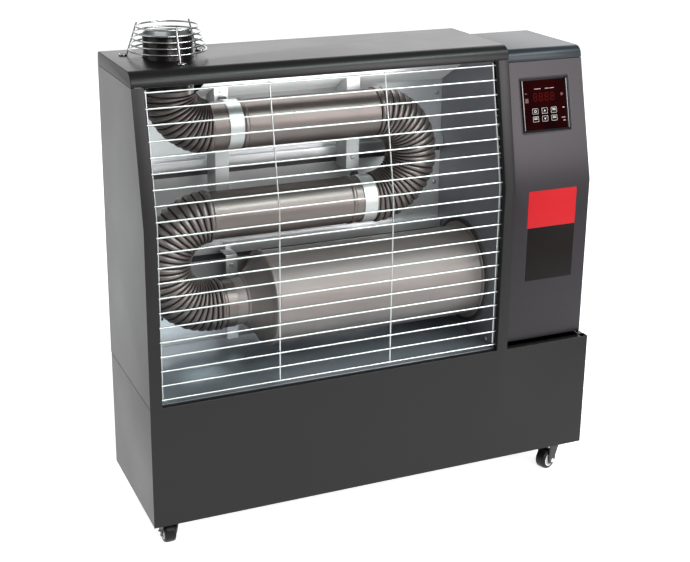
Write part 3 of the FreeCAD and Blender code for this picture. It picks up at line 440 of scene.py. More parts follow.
cap_radius = (cap_high.x - cap_low.x) / 2
cap_depth = cap_high.y - cap_low.y
cap_round = 2.5 * mm
dent_floor = cap_depth - 1.5 * mm
cap = turned([(0, cap_radius)] + arc(cap_depth - cap_round, cap_radius - cap_round, cap_round, 90, 0)
             + [(cap_depth, 12 * mm), (dent_floor, 11 * mm), (dent_floor, 1 * mm)],
             (cap_middle.x, cap_low.y, cap_middle.z), along_y, 72)


def is_grip(at, face):
    """Every third flat round the side of the cap, short of its rounded end."""
    step = math.degrees(math.atan2(at.z - cap_middle.z, at.x - cap_middle.x)) // 5
    return abs(face.normal.y) < 0.1 and at.y < cap_high.y - 3 * mm and step % 3 == 0


pick(cap, "FACE", is_grip)
bpy.ops.mesh.inset(thickness=0.4 * mm, depth=-0.9 * mm, use_individual=True)
clear()
stand_in(cap, "fuel_cap", cap_plastic, "filler_cap")


# Front panel: one sheet cut out round the window, with the base front below and a column at each
# side that leans back above its bend; the window edges are folded inwards.
def flat_sheet(low, high, facing):
    """Flat sheet between two corners that lie in one plane, facing along an axis."""
    clear()
    low, high = Vector(low), Vector(high)
    reach = high - low
    quarter = math.pi / 2
    turn = {"-Y": (quarter, 0, 0), "+Y": (-quarter, 0, 0),
            "-X": (0, -quarter, 0), "+X": (0, quarter, 0)}[facing]
    bpy.ops.mesh.primitive_plane_add(size=1, location=(low + high) / 2, rotation=turn)
    bpy.context.object.scale = (reach.x, reach.z, 1) if facing.endswith("Y") else (reach.z, reach.y, 1)
    bpy.ops.object.transform_apply()
    return bpy.context.object


def score(piece, axis, places, test=None):
    """Cut a sheet across at places along one axis, so that it can be bent or opened there."""
    way = Vector((axis == 0, axis == 1, axis == 2))
    for place in places:
        pick(piece, "FACE", test)
        bpy.ops.mesh.bisect(plane_co=way * place, plane_no=way)


column = 22 * mm
column_fold = 12 * mm
control_fold, deck_fold, head_fold = 24 * mm, 13 * mm, 16 * mm
bend_z = 612 * mm
lean_back = 47 * mm
front_low, front_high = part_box("front_panel")
cover_low, cover_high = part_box("top_cover")
seam_z = cover_low.z
control_start = cover_high.x
window_left = front_low.x + column
window_right = control_start - column

panel = flat_sheet(front_low, (front_high.x, front_low.y, deck_z), "-Y")
score(panel, 0, (window_left, window_right, control_start))
pick(panel, "EDGE", lambda at, edge: same(at.z, deck_z)
     and (at.x < window_left or window_right < at.x < control_start))
draw_out((0, 0, bend_z - deck_z))
draw_out((0, lean_back, seam_z - bend_z))
pick(panel, "EDGE", lambda at, edge: at.z > deck_z - 1 * mm
     and (same(at.x, window_left) or same(at.x, window_right)
          or (same(at.z, deck_z) and window_left < at.x < window_right)))
draw_out((0, column_fold, 0))
pick(panel, "EDGE", lambda at, edge: at.z > deck_z + 1 * mm and same(at.x, control_start))
draw_out((0, control_fold, 0))
pick(panel, "EDGE", lambda at, edge: same(at.z, deck_z) and at.x > control_start)
draw_out((0, deck_fold, 0))
clear()
bend_sheet(panel, 1.2 * mm, 50)
head_y = front_low.y + lean_back
head = block((window_left, head_y, seam_z - sheet), (window_right, head_y + head_fold, seam_z))
soften(head, 0.4 * mm)
stand_in(joined([panel, head]), "front_panel", powder_coat)


# Side panels: flat powder-coated sheets cut to the bent outline of the cabinet, standing on the
# folds of the base tray with a narrow seam, with a return flange towards the back.
def side_sheet(node, facing, knee_z, top_lean):
    """Side sheet: a plane scored at the knee, its upper front corner leaned back."""
    low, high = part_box(node)
    outside, inwards = (low.x, fold) if facing == "-X" else (high.x, -fold)
    foot_seam = 0.9 * mm
    side = flat_sheet((outside, low.y, low.z + foot_seam), (outside, high.y, high.z), facing)
    score(side, 2, [knee_z])
    pick(side, "VERT", lambda at, corner: same(at.z, high.z) and same(at.y, low.y))
    bpy.ops.transform.translate(value=(0, top_lean, 0))
    pick(side, "EDGE", lambda at, edge: same(at.y, high.y))
    draw_out((inwards, 0, 0))
    clear()
    bend_sheet(side, 1.2 * mm)
    soften(side, 0.35 * mm, 2, 60)
    stand_in(side, node, powder_coat)


control_face = front_low.y + 15 * mm
control_bend = 606.5 * mm
control_setback = 55 * mm
side_sheet("left_side_panel", "-X", bend_z, lean_back)
side_sheet("right_side_panel", "+X", control_bend, control_setback)


# Back: a plain panel with one shallow pressed field behind the reflector, and a louvred cover
# behind the burner with rows of pressed hoods and the cable gland low down.
rear_low, rear_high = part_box("rear_panel")
rear_skin = rear_high.y
rear = flat_sheet((rear_low.x, rear_skin, rear_low.z), rear_high, "+Y")
pick(rear, "FACE")
bpy.ops.mesh.inset(thickness=46 * mm)
bpy.ops.mesh.inset(thickness=5 * mm, depth=-2.5 * mm)
clear()
bend_sheet(rear, 1.5 * mm, 15)
stand_in(rear, "rear_panel", powder_coat)

burner_low, burner_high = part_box("burner_cover")
louvre_pitch = 22 * mm
louvre_tall = 11 * mm
louvre_half = 55 * mm
louvre_middle = (burner_low.x + burner_high.x) / 2
louvre_lows = [deck_z + 210 * mm + row * louvre_pitch for row in range(9)]
hood = 3.5 * mm
louvred = flat_sheet((burner_low.x, rear_skin, burner_low.z), (burner_high.x, rear_skin, burner_high.z), "+Y")
score(louvred, 0, (louvre_middle - louvre_half, louvre_middle + louvre_half))
score(louvred, 2, [edge_z for low in louvre_lows for edge_z in (low, low + louvre_tall)])
pick(louvred, "FACE", lambda at, face: abs(at.x - louvre_middle) < louvre_half
     and any(low < at.z < low + louvre_tall for low in louvre_lows))
bpy.ops.mesh.extrude_faces_move(TRANSFORM_OT_shrink_fatten={"value": 0})
bpy.ops.transform.translate(value=(0, hood, 0))
pick(louvred, "EDGE", lambda at, edge: at.y > rear_skin + hood - 0.1 * mm
     and any(same(at.z, low + louvre_tall) for low in louvre_lows)
     and same(edge.verts[0].co.z, edge.verts[1].co.z))
bpy.ops.transform.translate(value=(0, 0.3 * mm - hood, 0))
pick(louvred, "FACE", lambda at, face: face.normal.z < -0.9 and at.y > rear_skin + 0.5 * mm)
bpy.ops.mesh.delete(type="FACE")
clear()
work(louvred, "SOLIDIFY", thickness=sheet, offset=-1)
soften(louvred, 0.3 * mm, 2, 50)
corner_tab = block((burner_low.x, rear_skin - sheet, burner_high.z - 0.5 * mm),
                   (control_start - 0.2 * mm, rear_skin, seam_z))
soften(corner_tab, 0.3 * mm)
stand_in(joined([louvred, corner_tab]), "burner_cover", powder_coat)

gland_low, gland_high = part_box("cable_gland")
gland_at = (gland_low + gland_high) / 2
gland_at.y = rear_skin
gland_out = gland_high.y - rear_skin
hex_radius, hex_height = 13 * mm, 6 * mm
dome_foot, dome_radius, dome_round, cord_hole = 5 * mm, 9.5 * mm, 3 * mm, 4 * mm
gland_nut = rod(0, hex_height, hex_radius, gland_at, along_y, 6)
soften(gland_nut, 0.6 * mm)
gland_dome = turned([(dome_foot, cord_hole), (dome_foot, dome_radius), (gland_out - dome_round, dome_radius)]
                    + arc(gland_out - dome_round, dome_radius - dome_round, dome_round, 90, 0)
                    + [(gland_out, cord_hole), (dome_foot, cord_hole)], gland_at, along_y, 40)
stand_in(joined([gland_nut, gland_dome]), "cable_gland", cap_plastic)


# Bright lining: floor, wall to the control side and the stepped reflector with its sloping top,
# its return on the left and two channel rails that carry the pipe supports, all galvanised sheet;
# the floor and wall get darker copies of it as painted shade, and the slope a paler copy as painted
# light. The strips under the rails are near-black recessed joints, partly painted shade.
galvanised = new_finish("galvanised", (0.68, 0.7, 0.705), 0.3, 0.72)
# paler, less metallic copy of the galvanised sheet for the sloping top: painted light on the slope
slope_painted_light = new_finish("slope_painted_light", (0.84, 0.86, 0.86), 0.45, 0.2)
# near-black for the recessed strips under the rails: partly a joint, partly painted shade under the rails
joint_and_shade_black = new_finish("joint_and_shade_black", (0.02, 0.02, 0.021), 0.6)
# darker, more metallic copy of the galvanised sheet for the chamber floor: painted shade on the floor
painted_shade_floor = new_finish("painted_shade_floor", (0.37, 0.415, 0.46), 0.3, 0.8)
gloss(painted_shade_floor, 22, 4, 0.24, 0.4)
# darker copy of the galvanised sheet for the divider wall: painted shade low in the chamber
painted_shade_wall = new_finish("painted_shade_wall", (0.24, 0.245, 0.27), 0.4, 0.75)
gloss(painted_shade_wall, 30, 3, 0.4, 0.52)


def front_line(height, inset):
    """Depth of the bent front at a height, set back by an inset."""
    return front_low.y + inset + lean_back * max(0.0, height - bend_z) / (seam_z - bend_z)


def lean_corner(piece, from_y, at_z, to_y):
    """Move a sheet's corner at one depth and height to another depth."""
    pick(piece, "VERT", lambda at, corner: same(at.y, from_y) and same(at.z, at_z))
    bpy.ops.transform.translate(value=(0, to_y - from_y, 0))


def face_finishes(piece, finishes, which):
    """Give a piece several finishes; which(face) is the number of the one for a face."""
    piece.data.materials.clear()
    for finish in finishes:
        piece.data.materials.append(finish)
    for face in piece.data.polygons:
        face.material_index = which(face)


floor_low, floor_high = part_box("chamber_floor")
floor_sheet = block(floor_low, floor_high)
soften(floor_sheet, 0.4 * mm)
stand_in(floor_sheet, "chamber_floor", painted_shade_floor)

pipe_y = 2.35 * mm
chamber_z, middle_z, upper_z = 409 * mm, 578 * mm, 741 * mm
flue_x, flue_y = -341 * mm, 26.35 * mm
pipe_radius = 43 * mm
pipe_bore = 41.5 * mm

wall_low, wall_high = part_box("divider_wall")
divider = flat_sheet(wall_low, (wall_low.x, wall_high.y, wall_high.z), "-X")
score(divider, 2, [bend_z])
lean_corner(divider, wall_low.y, wall_high.z, front_line(seam_z, 16.3 * mm))
clear()
work(divider, "SOLIDIFY", thickness=sheet, offset=-1)
blast_room, blast_reach = 40.3 * mm, 20 * mm
bore(divider, blast_room, blast_reach, (wall_low.x, pipe_y, chamber_z), along_x)
stand_in(divider, "divider_wall", painted_shade_wall)

liner_low, liner_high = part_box("reflector")
liner_left, liner_right = liner_low.x + sheet, liner_high.x
back_y = liner_high.y - sheet
lean_y = back_y - 120 * mm
floor_top = floor_high.z
kick_z, head_z = 769 * mm, liner_high.z
rail_lows = (469 * mm, 638 * mm)
shaded_joint_lines = [(low - 14 * mm, low - 1 * mm) for low in rail_lows]


def in_shaded_joint(height):
    """Whether a height lies in one of the dark strips under the rails: recessed joints painted near-black,
    partly as painted shade under the rails.
    """
    return any(low < height < high for low, high in shaded_joint_lines)


backing = flat_sheet((liner_left, back_y, floor_top), (liner_right, back_y, kick_z), "-Y")
score(backing, 2, [bend_z] + [end for line in shaded_joint_lines for end in line])
pick(backing, "FACE", lambda at, face: in_shaded_joint(at.z))
bpy.ops.mesh.inset(thickness=0.2 * mm, depth=-0.8 * mm, use_individual=True, use_boundary=False)
pick(backing, "EDGE", lambda at, edge: same(at.z, kick_z))
draw_out((0, lean_y - back_y, head_z - kick_z))
clear()
return_inset = column_fold + 0.3 * mm
return_y = front_low.y + return_inset
side_return = flat_sheet((liner_left, return_y, floor_top), (liner_left, back_y, head_z), "+X")
score(side_return, 2, (bend_z, kick_z))
lean_corner(side_return, return_y, kick_z, front_line(kick_z, return_inset))
lean_corner(side_return, return_y, head_z, front_line(head_z, 16.6 * mm))
lean_corner(side_return, back_y, head_z, lean_y)
reflector = joined([backing, side_return])
pick(reflector, "VERT")
bpy.ops.mesh.remove_doubles(threshold=1e-5)
clear()
bend_sheet(reflector, 2 * mm, 20)
merge(reflector, block((flue_x - 49 * mm, flue_y - 49 * mm, 730 * mm),
                       (flue_x + 66 * mm, flue_y + 49 * mm, 845 * mm)), "DIFFERENCE")
vent_half, vent_low, vent_high = 1.8 * mm, 348 * mm, 355 * mm
for vent in (-344 * mm, -337 * mm, -330 * mm):
    merge(reflector, block((vent - vent_half, back_y - 4 * mm, vent_low),
                           (vent + vent_half, back_y + 4 * mm, vent_high)), "DIFFERENCE")
# sloping faces take the painted-light copy; the strips under the rails take the near-black joint and painted
# shade
face_finishes(reflector, (galvanised, slope_painted_light, joint_and_shade_black), lambda face:
              2 if face.normal.y < -0.9 and in_shaded_joint(face.center.z) else int(face.normal.z < -0.6))
rail_face = back_y - 13 * mm
rail_tall = 20 * mm
lining = [reflector]
for start, low in zip((-221 * mm, liner_left), rail_lows):
    rail = block((start, rail_face, low), (liner_right, back_y, low + rail_tall))
    pick(rail, "FACE", lambda at, face: face.normal.y > 0.9)
    bpy.ops.mesh.delete(type="FACE")
    clear()
    bend_sheet(rail, 1 * mm)
    rail.data.materials.append(galvanised)
    lining.append(rail)
stand_in(joined(lining), "reflector", galvanised, smooth=30)


# Drum: the combustion chamber, a large rolled drum with a flange and gasket at the burner end, a
# rolled rim and a coned end that narrows to the neck where the first bend is slipped on.
heat_steel = new_finish("heat_steel", (0.175, 0.154, 0.147), 0.36, 0.8)
tint(heat_steel, 9, 4, (0.148, 0.129, 0.122), (0.19, 0.168, 0.159), (0.6, 2, 2))
gloss(heat_steel, 24, 3, 0.3, 0.42, (0.5, 4, 4))
heat_steel.node_tree.nodes["Principled BSDF"].inputs["Specular Tint"].default_value = (0.2, 0.18, 0.17, 1)
drum_steel = new_finish("drum_steel", (0.205, 0.183, 0.175), 0.52, 0.6)
tint(drum_steel, 9, 4, (0.187, 0.165, 0.157), (0.228, 0.205, 0.195), (0.6, 2, 2))
gloss(drum_steel, 24, 3, 0.46, 0.56, (0.5, 4, 4))
gasket_fibre = new_finish("gasket_fibre", (0.03, 0.026, 0.025), 0.6)
grain(gasket_fibre, 300, 3, 0.4, 0.3 * mm)

drum_low, drum_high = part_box("combustion_chamber")
drum_radius = 87 * mm
rim_out = 89 * mm
flange_out = (drum_high.z - drum_low.z) / 2
cone_x, rim_x = -221 * mm, -185 * mm
drum_end = drum_high.x
flange_face = drum_end - 5 * mm
drum_middle = (0, pipe_y, chamber_z)
drum = turned([(drum_low.x, pipe_bore), (drum_low.x, pipe_radius), (cone_x - 3 * mm, pipe_radius),
               (cone_x - 1 * mm, pipe_radius + 2.4 * mm), (cone_x + 2 * mm, pipe_radius + 3.2 * mm),
               (rim_x - 6 * mm, drum_radius - 12 * mm), (rim_x - 2.5 * mm, drum_radius - 5 * mm),
               (rim_x, rim_out - 1.5 * mm), (rim_x + 1.5 * mm, rim_out), (rim_x + 7.5 * mm, rim_out),
               (rim_x + 9 * mm, drum_radius), (flange_face, drum_radius), (flange_face, flange_out),
               (drum_end, flange_out), (drum_end, pipe_bore), (drum_low.x, pipe_bore)],
              drum_middle, along_x, 128)
soften(drum, 0.6 * mm, 2, 25)
stand_in(drum, "combustion_chamber", drum_steel, smooth=28)
gasket_face, gasket_back, gasket_in = drum_end - 3 * mm, drum_end - 0.4 * mm, flange_out + 0.1 * mm
gasket = turned([(gasket_face, gasket_in), (gasket_face, flange_out + 7 * mm),
                 (gasket_back, flange_out + 8 * mm), (gasket_back, gasket_in), (gasket_face, gasket_in)],
                drum_middle, along_x, 128)
set_down(gasket, "chamber_gasket", gasket_fibre)


# Exhaust tubes: two straight rolled tubes of heat-coloured steel, each with a rolled bead near the
# joint where a band clamp holds it to the next bend.
for node, bead, height in (("middle_tube", -17.5 * mm, middle_z), ("upper_tube", -225 * mm, upper_z)):
    tube_low, tube_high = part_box(node)
    crest = [(bead + along * mm, pipe_radius + out * mm)
             for along, out in ((0, 0), (1.2, 1.5), (2.4, 2), (6.1, 2), (7.3, 1.5), (8.5, 0))]
    tube = turned([(tube_low.x, pipe_bore), (tube_low.x, pipe_radius)] + crest
                  + [(tube_high.x, pipe_radius), (tube_high.x, pipe_bore), (tube_low.x, pipe_bore)],
                  (0, pipe_y, height), along_x, 96)
    stand_in(tube, node, heat_steel, smooth=30)


# Pleated bends: thin steel pipe folded into close pleats so that it can be bent; a half turn at
# each side and a quarter turn up to the flue, each with plain cuffs at its ends.
pleat_steel = new_finish("pleat_steel", (0.15, 0.128, 0.12), 0.38, 0.75)
tint(pleat_steel, 16, 3, (0.125, 0.106, 0.1), (0.17, 0.147, 0.138))
# near-black finish for the valleys of the folds: painted shade in the creases, partly soot
groove_shade_and_soot = new_finish("groove_shade_and_soot", (0.016, 0.013, 0.012), 0.7, 0.3)
grain(groove_shade_and_soot, 400, 2, 0.3)
pleat_height = 4.5 * mm
pleat_steps = 8


def pleat_out(along):
    """Outside radius along the folds: narrow valleys between broad crests."""
    return pipe_radius + pleat_height * abs(math.sin(math.pi * along)) ** 0.55


def darken_grooves(piece, distance):
    """Give the valley faces of the folds a near-black finish, by their distance from the pipe's middle:
    painted shade in the creases, with some soot.
    """
    face_finishes(piece, (pleat_steel, groove_shade_and_soot), lambda face:
                  int(pipe_radius < distance(face.center) < pipe_radius + 0.45 * pleat_height))


def pleated_bend(bend_radius, turn, count, sway=0.0):
    """Circle spun about Y into rings, each ring drawn in or out to its place in the fold."""
    whole = math.radians(turn)

    def angle_of(spot):
        """Angle of a place round the bend, a little below nought at the start."""
        return (math.atan2(spot.z, spot.x) + 0.1) % (2 * math.pi) - 0.1

    shells = []
    for radius in (pipe_radius, pipe_bore):
        clear()
        bpy.ops.mesh.primitive_circle_add(vertices=72, radius=radius, location=(bend_radius, 0, 0))
        bpy.ops.object.transform_apply()
        shell = bpy.context.object
        pick(shell, "VERT")
        bpy.ops.mesh.spin(steps=count * pleat_steps, angle=whole, center=(0, 0, 0), axis=along_y)
        clear()
        if radius == pipe_radius:
            for corner in shell.data.vertices:
                angle = angle_of(corner.co)
                middle = Vector((bend_radius * math.cos(angle), 0, bend_radius * math.sin(angle)))
                corner.co = middle + (corner.co - middle) * pleat_out(angle / whole * count) / pipe_radius
        shell.data.update()
        darken_grooves(shell, lambda at: math.hypot(math.hypot(at.x, at.z) - bend_radius, at.y))
        for corner in shell.data.vertices:
            share = angle_of(corner.co) / whole
            corner.co.y += sway * (1 - share * share * (3 - 2 * share))
        shells.append(shell)
    bend = joined(shells)
    pick(bend, "EDGE", lambda at, edge: edge.is_boundary and abs(at.z) < 1e-4 and at.x > 0)
    bpy.ops.mesh.bridge_edge_loops()
    pick(bend, "EDGE", lambda at, edge: edge.is_boundary)
    bpy.ops.mesh.bridge_edge_loops()
    bpy.ops.mesh.select_all(action="SELECT")
    bpy.ops.mesh.normals_make_consistent(inside=False)
    clear()
    return bend


def cuff(stations, foot, way=along_x):
    """Plain or pleated end of a bend, bored through."""
    start, end = stations[0][0], stations[-1][0]
    collar = turned([(start, pipe_bore)] + stations + [(end, pipe_bore), (start, pipe_bore)], foot, way, 72)
    collar.data.materials.append(pleat_steel)
    return collar


def plain_cuff(start, end, height):
    """Plain level end of a bend at one of the pipes' heights."""
    return cuff([(start, pipe_radius), (end, pipe_radius)], (0, pipe_y, height))


def bend_in_place(node, bend, about_y, x, z, cuffs):
    """Turn a bend about Y, set its bend axis in the plane of the pipes and join its cuffs."""
    bend.data.transform(Matrix.Translation((x, pipe_y, z)) @ Matrix.Rotation(math.radians(about_y), 4, "Y"))
    stand_in(joined([bend] + cuffs), node, pleat_steel, smooth=50)


left_bend_x, right_bend_x = -282 * mm, 35 * mm
cuff_length = 7 * mm
neck_pitch = 8.5 * mm
neck_end = left_bend_x + 2 * neck_pitch
neck = cuff([(left_bend_x + neck_pitch * step / pleat_steps, pleat_out(step / pleat_steps))
             for step in range(2 * pleat_steps + 1)], drum_middle)
darken_grooves(neck, lambda at: math.hypot(at.y - pipe_y, at.z - chamber_z))
bend_in_place("left_bend", pleated_bend((middle_z - chamber_z) / 2, 180, 26), -90,
              left_bend_x, (chamber_z + middle_z) / 2,
              [plain_cuff(left_bend_x, left_bend_x + cuff_length, middle_z), neck,
               plain_cuff(neck_end, drum_low.x, chamber_z)])
bend_in_place("right_bend", pleated_bend((upper_z - middle_z) / 2, 180, 26), 90,
              right_bend_x, (middle_z + upper_z) / 2,
              [plain_cuff(right_bend_x - cuff_length, right_bend_x, height)
               for height in (middle_z, upper_z)])
elbow_radius = 61 * mm
elbow_x, elbow_top = flue_x + elbow_radius, upper_z + elbow_radius
bend_in_place("flue_elbow", pleated_bend(elbow_radius, 90, 13, flue_y - pipe_y), 180, elbow_x, elbow_top,
              [plain_cuff(elbow_x, elbow_x + 40 * mm, upper_z),
               cuff([(elbow_top, pipe_radius), (elbow_top + cuff_length, pipe_radius)],
                    (flue_x, flue_y, 0), along_z)])


# Band clamps: rolled strips with a split, bolted lug turned to the back; bright at the two upper
# joints and heat-coloured at the drum's neck; the lugs and bolt are near-black, painted shade
# where they sit behind the pipe.
bright_strip = new_finish("bright_strip", (0.47, 0.485, 0.485), 0.34, 0.75)
gloss(bright_strip, 60, 2, 0.3, 0.42)
# near-black for the lugs and bolts: painted shade behind the pipe
lug_painted_shade = new_finish("lug_painted_shade", (0.03, 0.028, 0.028), 0.4, 0.6)
grain(lug_painted_shade, 500, 2, 0.2)
clamp_wide = 26 * mm
upper_clamp_x, middle_clamp_x = -253 * mm, 5 * mm


def band_clamp(name, start, wide, height, finish):
    """Band with two lug plates and a bolt, made upright and turned to the back about the pipe."""
    inner, outer = pipe_radius + 0.3 * mm, pipe_radius + 1.9 * mm
    end, middle, edge = start + wide, start + wide / 2, 0.4 * mm
    lug_half, lug_near, lug_far, lug_top = 7 * mm, 2 * mm, 3.6 * mm, height + outer + 12 * mm
    head_radius, shank_radius, bolt_half = 4 * mm, 2.4 * mm, 5.2 * mm
    band = turned([(start, inner), (start, outer - edge), (start + edge, outer), (end - edge, outer),
                   (end, outer - edge), (end, inner), (start, inner)], (0, pipe_y, height), along_x, 96)
    fittings = []
    for side in (-1, 1):
        near, far = sorted((side * lug_near, side * lug_far))
        lug = block((middle - lug_half, pipe_y + near, height + pipe_radius + 1 * mm),
                    (middle + lug_half, pipe_y + far, lug_top))
        pick(lug, "EDGE", lambda at, edge: at.z > lug_top - 1 * mm and abs(at.x - middle) > lug_half - 1 * mm)
        bpy.ops.mesh.bevel(offset=3 * mm, segments=4)
        clear()
        fittings.append(lug)
    fittings.append(turned([(-bolt_half, head_radius), (-lug_far, head_radius), (-lug_far, shank_radius),
                            (bolt_half, shank_radius)], (middle, pipe_y, lug_top - 6 * mm), along_y, 6))
    lugs = joined(fittings)
    centre = Matrix.Translation((0, pipe_y, height))
    lugs.data.transform(centre @ Matrix.Rotation(-math.pi / 4, 4, "X") @ centre.inverted())
    set_down(lugs, name + "_lugs", lug_painted_shade, nodes=["pipe_clamps"])
    set_down(band, name, finish, nodes=["pipe_clamps"])


band_clamp("upper_clamp", upper_clamp_x, clamp_wide, upper_z, bright_strip)
band_clamp("middle_clamp", middle_clamp_x, clamp_wide, middle_z, bright_strip)
band_clamp("neck_clamp", -261 * mm, 19 * mm, chamber_z, heat_steel)


# Supports: two upright angles that tie the upper clamps to the rail and a strap behind the drum's
# neck, bent from galvanised strip and held with pan-head screws.
def pan_screw(place, way):
    """Pan-head screw with a crossed slot, standing on a face."""
    head_radius, head_wall, head_round, head_top = 4.5 * mm, 0.8 * mm, 1.8 * mm, 2.6 * mm
    slot_long, slot_narrow, slot_floor = 2.2 * mm, 0.5 * mm, 1.4 * mm
    head = turned([(0, head_radius), (head_wall, head_radius)]
                  + arc(head_wall, head_radius - head_round, head_round, 90, 0, 4)
                  + [(head_top, 0.5 * mm)], (0, 0, 0), along_z, 32)
    for wide, tall in ((slot_long, slot_narrow), (slot_narrow, slot_long)):
        merge(head, block((-wide, -tall, slot_floor), (wide, tall, 4 * mm)), "DIFFERENCE")
    turn = Vector(along_z).rotation_difference(Vector(way)).to_matrix().to_4x4()
    head.data.transform(Matrix.Translation(place) @ turn)
    return head


def under_slope(depth):
    """Height just under the reflector's slope at a depth."""
    return kick_z + (back_y - depth) * (head_z - kick_z) / (back_y - lean_y) - 0.4 * mm


strip = 2 * mm
to_front = (0, -1, 0)
angle_face, strap_face = 47.55 * mm, 57.75 * mm


def support_angle(start, low, screw_z):
    """Angle: a plate behind the clamp, its left edge bent back to the rail and cut under the slope."""
    top = under_slope(angle_face + strip)
    angle = flat_sheet((start, angle_face, low), (start + clamp_wide, angle_face, top), "-Y")
    pick(angle, "EDGE", lambda at, edge: same(at.x, start))
    draw_out((0, rail_face - angle_face, 0))
    pick(angle, "VERT", lambda at, corner: same(at.y, rail_face) and same(at.z, top))
    bpy.ops.transform.translate(value=(0, 0, under_slope(rail_face) - top))
    clear()
    bend_sheet(angle, 1 * mm, thickness=strip)
    return [angle, pan_screw((start + clamp_wide / 2, angle_face, screw_z), to_front)]


strap_half = 11 * mm
strap_low, strap_high = chamber_z - 97 * mm, chamber_z + 70 * mm
strap = flat_sheet((cone_x - strap_half, strap_face, strap_low),
                   (cone_x + strap_half, strap_face, strap_high), "-Y")
pick(strap, "EDGE", lambda at, edge: same(at.z, strap_high))
draw_out((0, rail_face - strap_face, 0))
clear()
bend_sheet(strap, 1 * mm, thickness=strip)
supports = support_angle(upper_clamp_x, 599.5 * mm, 793 * mm)
supports += support_angle(middle_clamp_x, 623.2 * mm, 646 * mm)
supports += [strap, pan_screw((cone_x, strap_face, 460 * mm), to_front)]
stand_in(joined(supports), "support_brackets", bright_strip)


# Burner parts: blast tube, blower, pump, coil and board of painted steel, cast metal, brass and
# laminate, unseen behind the control front and kept as the construction drew them.
burner_steel = new_finish("burner_steel", (0.2, 0.2, 0.21), 0.45, 0.9)
tint(burner_steel, 30, 3, (0.16, 0.16, 0.165), (0.24, 0.24, 0.25))
cast_metal = new_finish("cast_metal", (0.42, 0.42, 0.43), 0.5, 0.9)
grain(cast_metal, 260, 3, 0.4, 0.3 * mm)
brass_fitting = new_finish("brass_fitting", (0.72, 0.54, 0.25), 0.3, 1.0)
tint(brass_fitting, 60, 2, (0.64, 0.47, 0.21), (0.76, 0.58, 0.28))
circuit_board = new_finish("circuit_board", (0.02, 0.12, 0.05), 0.4)
tint(circuit_board, 120, 2, (0.015, 0.1, 0.04), (0.03, 0.15, 0.06))
give_finish(burner_steel, "burner_tube", "blower_housing", "blower_wheel", "ignition_transformer")
give_finish(cast_metal, "blower_motor", "fuel_pump")
give_finish(brass_fitting, "spray_nozzle")
give_finish(circuit_board, "control_board")


# Caps: the rounded top cover over the heating side with the hole for the flue, and the lower,
# set-back lid of the control side; both pressed from sheet with a wide roll along the front.
def pressed_cap(low, high, front_roll, rear_roll):
    """Box cap: front and rear top edges rolled, underside open, walls given their thickness."""
    seam, rear_seam, rear_wall = 1 * mm, 0.1 * mm, 12 * mm
    cap = block((low.x, low.y, low.z + seam), high)
    pick(cap, "EDGE", lambda at, edge: same(at.z, high.z) and same(at.y, low.y))
    bpy.ops.mesh.bevel(offset=front_roll, segments=12)
    pick(cap, "EDGE", lambda at, edge: same(at.z, high.z) and same(at.y, high.y))
    bpy.ops.mesh.bevel(offset=rear_roll, segments=6)
    pick(cap, "EDGE", lambda at, edge: (same(at.x, low.x) or same(at.x, high.x)) and at.z > low.z + 3 * mm
         and not (same(at.y, low.y) or same(at.y, high.y)))
    bpy.ops.mesh.bevel(offset=1.2 * mm, segments=3)
    pick(cap, "FACE", lambda at, face: face.normal.z < -0.9)
    bpy.ops.mesh.delete(type="FACE")
    score(cap, 1, [high.y - rear_wall])
    pick(cap, "EDGE", lambda at, edge: same(at.z, low.z + seam) and same(at.y, high.y))
    bpy.ops.transform.translate(value=(0, 0, rear_seam - seam))
    clear()
    work(cap, "SOLIDIFY", thickness=sheet, offset=-1)
    return cap


cover_z = cover_high.z
flue_room, flue_reach = 44.5 * mm, 40 * mm
cover = pressed_cap(cover_low, cover_high, 22 * mm, 8 * mm)
bore(cover, flue_room, flue_reach, (flue_x, flue_y, cover_z), along_z, 72)
stand_in(cover, "top_cover", powder_coat)
lid_coat = new_finish("lid_coat", (0.014, 0.019, 0.025), 0.34, specular=0.3)
grain(lid_coat, 850, 2, 0.15)
stand_in(pressed_cap(*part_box("control_lid"), 18 * mm, 8 * mm), "control_lid", lid_coat)


# Flue: the dark exhaust pipe that comes up through the cover from the elbow, rolled steel with a
# lightly rounded lip and a paler bore, partly bare steel and partly painted light falling in at the top.
flue_steel = new_finish("flue_steel", (0.017, 0.014, 0.014), 0.24, 0.85)
tint(flue_steel, 14, 3, (0.013, 0.0105, 0.0105), (0.021, 0.0175, 0.0175), (3, 3, 0.5))
# paler finish for the bore: partly bare steel, partly painted light falling in at the top
flue_bore = new_finish("flue_bore", (0.17, 0.18, 0.18), 0.4, 0.9)
flue_low, flue_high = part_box("flue_outlet")
flue = turned([(flue_low.z, pipe_bore), (flue_low.z, pipe_radius), (flue_high.z - 0.6 * mm, pipe_radius),
               (flue_high.z, pipe_radius - 0.4 * mm), (flue_high.z, pipe_bore + 0.2 * mm),
               (flue_high.z - 0.4 * mm, pipe_bore), (flue_low.z, pipe_bore)],
              (flue_x, flue_y, 0), along_z, 96)
face_finishes(flue, (flue_steel, flue_bore), lambda face:
              int(math.hypot(face.center.x - flue_x, face.center.y - flue_y) < pipe_bore))
stand_in(flue, "flue_outlet", flue_steel)


# Wire work: the guard cage round the flue, with level rings on three leaning legs whose feet are
# bent to eyes, and the grille in the window of level wires welded to four bent uprights.
bright_wire = new_finish("bright_wire", (0.52, 0.545, 0.535), 0.28, 0.95)
gloss(bright_wire, 80, 2, 0.24, 0.36)
cage_wire = new_finish("cage_wire", (0.42, 0.43, 0.43), 0.2, 1.0)
gloss(cage_wire, 80, 2, 0.16, 0.28)


